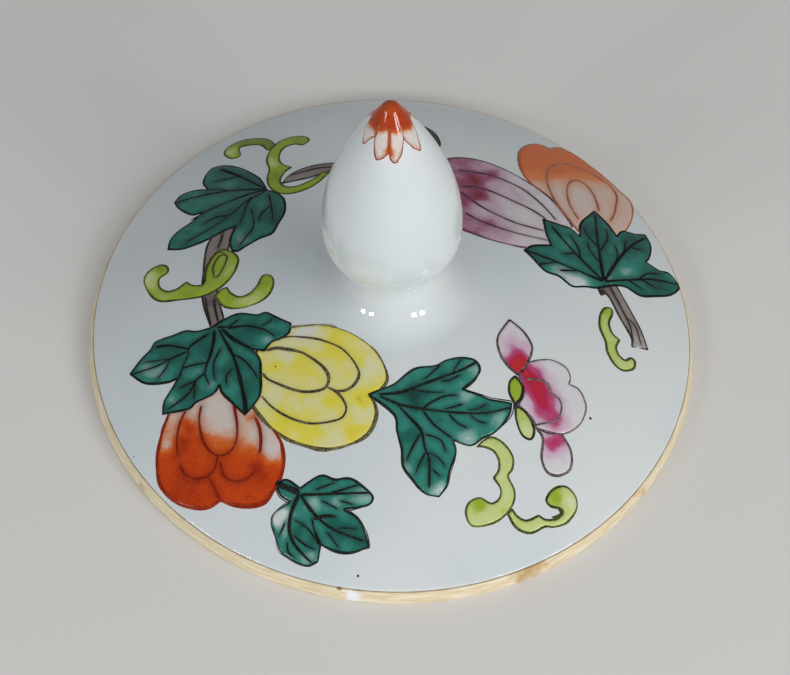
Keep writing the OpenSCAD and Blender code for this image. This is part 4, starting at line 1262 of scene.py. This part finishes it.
paint(
    "leaf_east", "leaf",
    tones(
        0.6, (40.1, 18, 1.9, 0.3), (32.8, 17.4, 1.7, 0.26), (44.4, 9.4, 1.9, 0.26), (34.2, 14.2, 1.4, 0.1),
        (29.9, 4.8, 2.3, -0.75), (26.5, 6.4, 1.9, -0.5), (28.3, 12.9, 1.5, -0.3), (38.5, 10.5, 1.8, -0.28),
        (35.3, 7.2, 1.5, -0.35), (46.6, 12.2, 1.2, -0.15), (31, 20, 1.0, -0.1), (36.6, 15, 1.2, -0.15),
    ),
    [
        (0.7, 0.45, [[34.3, 6.8], [33.6, 14], [33.3, 22]]),
        (0.6, 0.4, [[34.2, 6.8], [31.5, 9.2], [28.5, 12.5], [25.5, 16.5]]),
        (0.65, 0.45, [[34.4, 6.8], [37.2, 12.8], [39.8, 17], [42.3, 19.8]]),
        (0.6, 0.4, [[34.5, 6.7], [39, 8.6], [43, 10.2], [47.5, 11]]),
        (0.6, 0.35, [[34.2, 6.6], [27, 8.3], [21.3, 9.7]]), (0.6, 0.35, [[23.4, 7.3], [26, 8.3]]),
        (0.6, 0.35, [[26.8, 6.8], [30, 7.6]]), (0.4, 0.3, [[33.6, 14], [31.8, 16.2], [31.2, 18]]),
        (0.4, 0.3, [[33.7, 13], [35.2, 16.4], [35.2, 18.6]]), (0.4, 0.3, [[29.5, 11.4], [27.5, 10.6]]),
        (0.4, 0.3, [[30.4, 10.4], [29.9, 13], [28.6, 15.2]]),
        (0.4, 0.3, [[33.9, 10.4], [32.2, 12.6], [31.6, 14.4]]), (0.5, 0.3, [[38, 13.8], [38.6, 17.6]]),
        (0.5, 0.3, [[36.4, 11], [36.9, 13.4], [36.6, 15.6]]), (0.5, 0.35, [[39.4, 16.2], [41.4, 16.4]]),
        (0.5, 0.3, [[41, 9.4], [43.6, 8.4]]), (0.5, 0.3, [[38.6, 8.4], [41.2, 7.2]]),
        (0.4, 0.3, [[40.4, 9.2], [42.2, 11.2], [44.4, 12]]),
    ],
    outline=0.44, reach=0.8,
)

paint(
    "leaf_behind", "leaf", tones(0.86, (-3, 32, 2.5, -0.2), (0, 35, 1.6, -0.2)),
    [
        (0.5, 0.3, [[-1.6, 25], [-3, 29], [-3.6, 35.4]]),
        (0.4, 0.3, [[-2, 26], [0.6, 30], [2.6, 35], [2.9, 38.8]]),
        (0.4, 0.3, [[-2.4, 27], [-5, 28], [-8.4, 29]]),
    ],
    outline=0.36, density=0.8, reach=0.9,
)

paint(
    "branch_north_west", "branch", tones(0.62, (-18.5, 24, 3, -0.3), (0, 23.5, 4, 0.3)),
    [
        (0.4, 0.3, [[-19, 24], [-14, 25.8], [-9, 25.6], [-3, 23.8]]),
    ],
    outline=0.34, density=0.75,
)

paint(
    "branch_west", "branch", tones(0.5, (-29.5, -3.5, 2.5, 0.25), (-30.2, 1, 1.5, -0.15)),
    [
        (0.45, 0.35, [[-29, 11], [-29.2, 9], [-29.5, 7.5]]),
        (0.45, 0.35, [[-30.4, -2.5], [-29.8, -5], [-28.9, -7.8]]),
        (0.5, 0.35, [[-28.9, -3], [-28.5, -5], [-27.7, -7.6]]),
    ],
    outline=0.4, density=0.85,
)

paint(
    "branch_east", "branch", tones(0.34, (34.5, 4.8, 1.5, 0.4), (40, -4, 1.8, -0.3)),
    [
        (0.45, 0.3, [[35.3, 5.8], [36, 4.3], [36.8, 2.7], [37.6, 1], [38.6, -1.2], [39, -4]]),
        (0.35, 0.3, [[38.2, 0.2], [39.5, -1], [40.4, -4.2]]), (1.1, 0.9, [[34.4, 4.6], [33.6, 4.3]]),
    ],
    outline=0.36, density=0.85, faint=[(39.8, -4.9, 0.9, 1.0)],
)

paint(
    "tendril_north_west", "tendril",
    tones(
        0.66, (-22.8, 28.1, 1.8, -0.35), (-18.4, 34, 1.5, 0.1), (-21.4, 24, 1.4, 0.12),
        (-14, 23.4, 1.6, 0.1),
    ),
    outline=0.32, density=0.7,
)

paint(
    "tendril_north_west_curl", "tendril", tones(0.84, (-30.1, 31.8, 1.8, -0.5)),
    outline=0.3, density=0.65,
)

paint(
    "tendril_west", "tendril",
    tones(
        0.56, (-40.6, 2.4, 1.6, -0.45), (-38.7, 4.6, 1.1, 0.22), (-33.8, -0.9, 1.8, 0.15),
        (-37, -1.6, 1.2, -0.12), (-29.8, 3.6, 1.2, 0.2), (-27, 3, 1.2, -0.15),
    ),
    [
        (0.4, 0.35, [[-30.8, 0.8], [-30.9, 3], [-30.3, 5.2], [-29.2, 6.6], [-28.1, 6.2]]),
        (0.34, 0.34, [[-29.4, 1.3], [-29.8, 3.5], [-29.2, 5.5], [-28.3, 6], [-27.7, 5.3], [-28, 3.5],
            [-28.6, 1.8], [-29.3, 1.2]]),
    ],
    outline=0.36, density=0.8, faint=[(-41, 1.8, 2.4, 0.6)],
)

paint(
    "tendril_west_hook", "tendril",
    tones(0.48, (-20.8, -0.2, 1.2, 0.25), (-22.6, -4, 1.4, -0.15), (-26.6, -2.8, 1.3, 0.18)),
    outline=0.36, density=0.8, faint=[(-24, -5.2, 2, 0.4)],
)

paint(
    "tendril_south", "tendril",
    tones(
        0.2, (14.7, -35.8, 1.5, 0.42), (16.6, -25.6, 1.4, 0.22), (18.6, -36.4, 1.2, 0.2),
        (19, -29, 1.4, 0.12),
    ),
    outline=0.34, density=0.7, faint=[(14, -39, 1.8, 0.4)],
)

paint(
    "tendril_south_curl", "tendril",
    tones(0.22, (26.5, -32.8, 1.5, 0.5), (21, -37.6, 1.4, 0.14), (29, -33.6, 1.4, -0.12)),
    [
        (0.6, 0.9, [[26, -36], [27.2, -35.6], [27.6, -34.9], [27, -34.7]]),
    ],
    outline=0.36, density=0.8, faint=[(29.6, -33, 2.2, 0.4)],
)

paint(
    "tendril_east", "tendril", tones(0.38, (34.6, 0.4, 1.2, 0.15), (37.8, -8.6, 1.2, -0.12)),
    outline=0.4, density=0.85,
)

paint(
    "flower_upper_petal", "petal",
    tones(0.03, (20.2, -13.6, 2.1, 0.95), (19.9, -11.0, 1.9, 0.5), (19.2, -8.8, 1.8, 0.14)),
    outline=0.42, density=0.8, pool=0.04,
)

paint(
    "flower_main_petals", "petal",
    tones(
        0.0, (21.4, -13.9, 2.1, 0.8), (23.3, -16.2, 2.2, 0.6), (24.2, -19, 2.2, 0.55),
        (26.2, -21.5, 2.1, 0.42), (24.3, -17.8, 3.4, 0.14),
    ),
    [
        (0.4, 0.32, [[21.3, -15.2], [22.5, -14.9], [24, -14.9], [25, -15.5], [25.4, -16.8], [26.5, -17.3],
            [27.1, -18.5], [26.8, -20.2], [25.8, -21.4], [24.2, -22], [22.9, -22.5]]),
    ],
    outline=0.32, density=0.5, pool=0.03, faint=[(30.5, -21.5, 3.5, 0.5)],
)

paint(
    "flower_lower_petal", "petal", tones(0.0, (26.3, -24.2, 2.0, 0.62), (25.6, -26, 1.6, 0.22)),
    outline=0.42, density=0.75, pool=0.03, faint=[(27.5, -28.5, 1.5, 0.4)],
)

paint(
    "sepal_upper", "tendril", tones(0.6),
    outline=0.46, density=0.9, ink=BLACK_INK,
)

paint(
    "sepal_lower", "tendril", tones(0.4, (22, -23.6, 1.3, -0.25)),
    outline=0.42, density=0.8, ink=BLACK_INK,
)

# ---------------------------------------------------------------- tip of the bud

# lower border of the red petals: degrees round from the front towards +X, height and sharp corners
PETALS = [
    [-88, 52.3, 1], [-77, 50.9], [-59, 49.5, 1], [-47, 50.9], [-37, 51.4, 1], [-31, 50.2], [-21, 48.7, 1],
    [-10, 49.3], [0, 49.9, 1], [4, 49.1], [10, 48.6], [20, 49.4], [36, 51.5, 1], [47, 50], [61, 48.6, 1],
    [70, 50], [89, 52.3, 1], [114, 52.3, 1], [120, 50.8], [127, 49.6, 1], [133, 50.5], [139, 51.5, 1],
    [146, 50.2], [153, 49, 1], [160, 50.3], [167, 51.6, 1], [174, 50.3], [181, 49.2, 1], [188, 50.3],
    [194, 51.5, 1], [201, 50.1], [208, 49, 1], [215, 50.3], [221, 51.6, 1], [227, 50.4], [232, 49.6, 1],
    [239, 50.9], [246, 52.3, 1], [272, 52.3, 1],
]


def bud_line():
    """The bud from its tip down: length along it, radius, height and the outward direction."""
    rows = []
    for cx, cz, radius, start, end in (
        (0, TIP_Z, TIP_R, math.pi / 2, TIP_A),
        (CONE_X, CONE_Z, CONE_R, TIP_A, SHOULDER_A),
        (BUD_R - SHOULDER_R, BUD_Z, SHOULDER_R, SHOULDER_A, 0),
    ):
        for k in range(201):
            a = start + (end - start) * k / 200
            rows.append((cx + radius * math.cos(a), cz + radius * math.sin(a), math.cos(a), math.sin(a)))
    rows = np.array(rows)
    along = np.concatenate([[0], np.cumsum(np.linalg.norm(np.diff(rows[:, :2], axis=0), axis=1))])
    return along, rows


BUD_ALONG, BUD_ROWS = bud_line()


def bud_length(z):
    """Length along the bud from its tip down to a height."""
    return np.interp(-np.asarray(z, float), -BUD_ROWS[:, 1], BUD_ALONG)


def petal_length(angle):
    """Length along the bud from its tip to the border of the petals, for angles in radians."""
    path = smooth(PETALS, 8, False)
    first = PETALS[0][0]
    turn = (np.degrees(angle) - first) % 360 + first
    return bud_length(np.interp(turn, path[:, 0], path[:, 1]))


def on_bud(angle, length, lift):
    """Places points given by angle and length from the tip on the leaning bud."""
    r, z, nr, nz = (np.interp(length, BUD_ALONG, BUD_ROWS[:, k]) for k in range(4))
    r = r + nr * lift
    return leaned(np.column_stack([r * np.sin(angle), -r * np.cos(angle), z + nz * lift]))


def petal_cover(angle, length):
    """Height of the red enamel over the bud's glaze."""
    return rounded(petal_length(angle) - length)


# heights between which the tone of the bud's tip changes; near the peak the red turns paler, a painted
# highlight on the round very tip
CAP_FADE = (51.8, 53.1)
PEAK_HIGHLIGHT = (54, 55.2)
STEM_FADE = (48.8, 49.7)
STEM_WIDEN = (50.9, 49.9)


def tip_tone(angle, height):
    """Tone of the tip: a full red cap with a ragged border, pale petals, a red stem in front and a painted
    highlight that makes the very tip paler.
    """
    ragged = 0.7 * np.sin(angle) ** 2 + 0.12 * np.sin(7 * angle) + 0.06 * np.cos(17 * angle)
    cap = rise(height + ragged, *CAP_FADE)
    front = (angle + math.pi) % (2 * math.pi) - math.pi
    stem = np.exp(-(front / (0.09 + 0.08 * rise(height, *STEM_WIDEN))) ** 2) * rise(height, *STEM_FADE)
    # the term taken off near the peak is a painted highlight: the very tip is paler
    return np.maximum(0.03 + 0.9 * cap - 0.12 * rise(height, *PEAK_HIGHLIGHT), 0.78 * stem)


def bud_tip():
    """The red cap and its nine pale petals."""
    turns, rows = 360, 44
    angle = round_angles(turns)
    border = petal_length(angle)
    share = 1 - (1 - np.linspace(0, 1, rows)) ** 1.6
    top, low, tone = [], [], []
    for k in range(1, rows):
        length = border * share[k]
        top.append(on_bud(angle, length, petal_cover(angle, length)))
        low.append(on_bud(angle, length, -SINK))
        tone.append(tip_tone(angle, np.interp(length, BUD_ALONG, BUD_ROWS[:, 1])))
    count = turns * (rows - 1)
    peak = on_bud(np.zeros(2), np.zeros(2), np.array([ENAMEL_T, -SINK]))
    verts = np.vstack(top + low + [peak])
    tone = np.concatenate(tone + tone + [[0.95, 0.95]])
    faces = []
    for j in range(turns):
        k = (j + 1) % turns
        faces.append((2 * count, j, k))
        faces.append((2 * count + 1, count + k, count + j))
        for i in range(rows - 2):
            a, b = i * turns, (i + 1) * turns
            faces.append((a + k, a + j, b + j, b + k))
            faces.append((count + a + j, count + a + k, count + b + k, count + b + j))
        end = (rows - 2) * turns
        faces.append((end + j, end + count + j, end + count + k, end + k))
    piece = make_mesh("bud_tip_enamel", verts, faces, {"tone": tone})
    dress(piece, RED, "red_enamel", "bud_tip_enamel")


class BudInk(Ink):
    """Ink lines on the bud: points are an angle in radians and a length from the tip."""

    def size_of_step(self, path):
        return np.maximum(np.interp(path[:, 1], BUD_ALONG, BUD_ROWS[:, 0]), 0.3)

    def lay(self, at, lift):
        return on_bud(at[:, 0], at[:, 1], petal_cover(at[:, 0], at[:, 1]) + lift)


# lines between the petals: degrees round from the front, lower end, width and ink
PETAL_LINES = (
    (-88, 52.3, 0.3, 0.6), (-37, 51.4, 0.5, 0.8), (0, 50.2, 0.5, 0.95), (36, 51.5, 0.24, 0.35),
    (89, 52.3, 0.3, 0.6), (139, 51.5, 0.4, 0.6), (167, 51.6, 0.4, 0.6), (194, 51.5, 0.4, 0.6),
    (221, 51.6, 0.4, 0.6),
)
PETAL_LINE_TOP = 53


def bud_tip_lines():
    """Brown lines round the petals and a thick one between the two in front."""
    lines = BudInk()
    path = smooth(PETALS, 24, False)
    wide = 0.36 + 0.22 * rise(path[:, 1], 50.6, 49.2)
    path = np.column_stack([np.radians(path[:, 0]), bud_length(path[:, 1])])
    load = 0.78 + 0.2 * np.cos(path[:, 0] + 0.7)
    lines.add(path, brush(len(path), 1, 1, 3, False) * wide, load)
    steps = 24
    for degrees, low, wide, density in PETAL_LINES:
        heights = np.linspace(low, PETAL_LINE_TOP, steps)
        path = np.column_stack([np.full(steps, math.radians(degrees)), bud_length(heights)])
        lines.add(path, np.full(steps, wide), density)
    lines.piece("bud_tip_ink", BROWN_INK, "red_enamel")


bud_tip()
bud_tip_lines()

# ---------------------------------------------------------------- specks burnt into the glaze


# iron specks: x, y and width
SPECKS = (
    (31.8, -19.5, 0.5), (-2.8, -47.2, 0.45), (-38.9, -28.9, 0.22), (33.5, -3.2, 0.2), (-17.8, -16, 0.3),
)
SPECK_SIDES = 14


def specks():
    """A few flat, round iron specks in the glaze."""
    verts, faces = [], []
    turn = round_angles(SPECK_SIDES)
    for x, y, wide in SPECKS:
        start = len(verts)
        upper = start + SPECK_SIDES
        for radius, lift in ((wide / 2, -SINK), (wide / 2.6, 0.02)):
            at = np.column_stack([x + radius * np.cos(turn), y + radius * np.sin(turn)])
            verts += on_coat(at, lift).tolist()
        faces.append(tuple(range(start, upper))[::-1])
        faces.append(tuple(range(upper, upper + SPECK_SIDES)))
        for j in range(SPECK_SIDES):
            k = (j + 1) % SPECK_SIDES
            faces.append((start + j, start + k, upper + k, upper + j))
    piece = make_mesh("glaze_specks", verts, faces, {"load": np.full(len(verts), 0.8)})
    dress(piece, SPECK, "clear_glaze")


specks()

# ---------------------------------------------------------------- floor, lights and camera


def floor():
    """A plain pale floor, at the height of the lid's foot ring."""
    half = 0.75
    mesh = bpy.data.meshes.new("floor")
    z = cad_low.z
    corners = [(-half, -half, z), (half, -half, z), (half, half, z), (-half, half, z)]
    mesh.from_pydata(corners, [], [(0, 1, 2, 3)])
    ground = add_object("floor", mesh)
    n = Nodes("pale_floor")
    colour = n.mix(n.noise(0.5, 3), srgb(0.895, 0.885, 0.87), srgb(0.925, 0.915, 0.90))
    mesh.materials.append(n.finish(colour, 0.75, IOR=1.4))


def soft_light(name, place, aim, wide, high, power, colour=(1, 1, 1), mirrored=True):
    """A rectangular light that faces a point, and that the glaze mirrors or not."""
    data = bpy.data.lights.new(name, "AREA")
    data.shape = "RECTANGLE"
    data.size = wide
    data.size_y = high
    data.energy = power
    data.color = colour
    lamp = add_object(name, data)
    lamp.location = place
    lamp.rotation_euler = (Vector(aim) - Vector(place)).to_track_quat("-Z", "Y").to_euler()
    lamp.visible_glossy = mirrored


# two pairs of small soft boxes, one pair on each side of the front
BOX_TURN = 46.5  # degrees from the front to the middle of a pair
BOX_SHIFT = 7.5  # degrees from there to each box
BOX_FAR = 0.45
BOX_UP = 0.207
BOX_WIDE = 0.065
BOX_HIGH = 0.08
BOX_POWER = 0.23


def lights():
    """Wide soft light from the right, a low fill in front and two pairs of small soft boxes."""
    soft_light("key", (0.668, -0.312, 0.516), (0, 0, 0.01), 0.6, 0.6, 2.6, (1, 0.985, 0.96), False)
    soft_light("fill", (-0.03, -0.85, 0.05), (0, 0, 0.035), 0.6, 0.3, 2.2, mirrored=False)
    for side, turn in (("left", -BOX_TURN), ("right", BOX_TURN)):
        for number, shift in enumerate((-BOX_SHIFT, BOX_SHIFT)):
            a = math.radians(turn + shift)
            place = (BOX_FAR * math.sin(a), -BOX_FAR * math.cos(a), BOX_UP)
            soft_light(f"box_{side}_{number + 1}", place, (0, 0, 0.05), BOX_WIDE, BOX_HIGH, BOX_POWER)


def world():
    """Dim, cool light from all round."""
    scene = bpy.context.scene
    if scene.world is None:
        scene.world = bpy.data.worlds.new("world")
    scene.world.use_nodes = True
    back = scene.world.node_tree.nodes["Background"]
    back.inputs["Color"].default_value = (0.78, 0.80, 0.83, 1)
    back.inputs["Strength"].default_value = 0.37
    scene.view_settings.view_transform = "Standard"


CAMERA_DOWN = math.radians(55.58)  # how steeply it looks down
CAMERA_ROLL = math.radians(3.55)  # its turn about its own axis
CAMERA_FAR = 0.2795
CAMERA_AIM = Vector((0.0005, -0.0015, 0))
CAMERA_LENS = 76.69
CAMERA_FILM = 36


def camera():
    """Looks down on the lid from the front, turned a little about its own axis."""
    down, roll = CAMERA_DOWN, CAMERA_ROLL
    forward = Vector((0, math.cos(down), -math.sin(down)))
    right0 = Vector((1, 0, 0))
    up0 = Vector((0, math.sin(down), math.cos(down)))
    right = right0 * math.cos(roll) + up0 * math.sin(roll)
    up = up0 * math.cos(roll) - right0 * math.sin(roll)
    data = bpy.data.cameras.new("camera")
    data.lens = CAMERA_LENS
    data.sensor_width = CAMERA_FILM
    data.dof.use_dof = False
    data.clip_start = 0.01
    eye = add_object("camera", data)
    turn = Matrix((right, up, -forward)).transposed()
    eye.matrix_world = Matrix.Translation(CAMERA_AIM - forward * CAMERA_FAR) @ turn.to_4x4()
    bpy.context.scene.camera = eye


floor()
lights()
world()
camera()
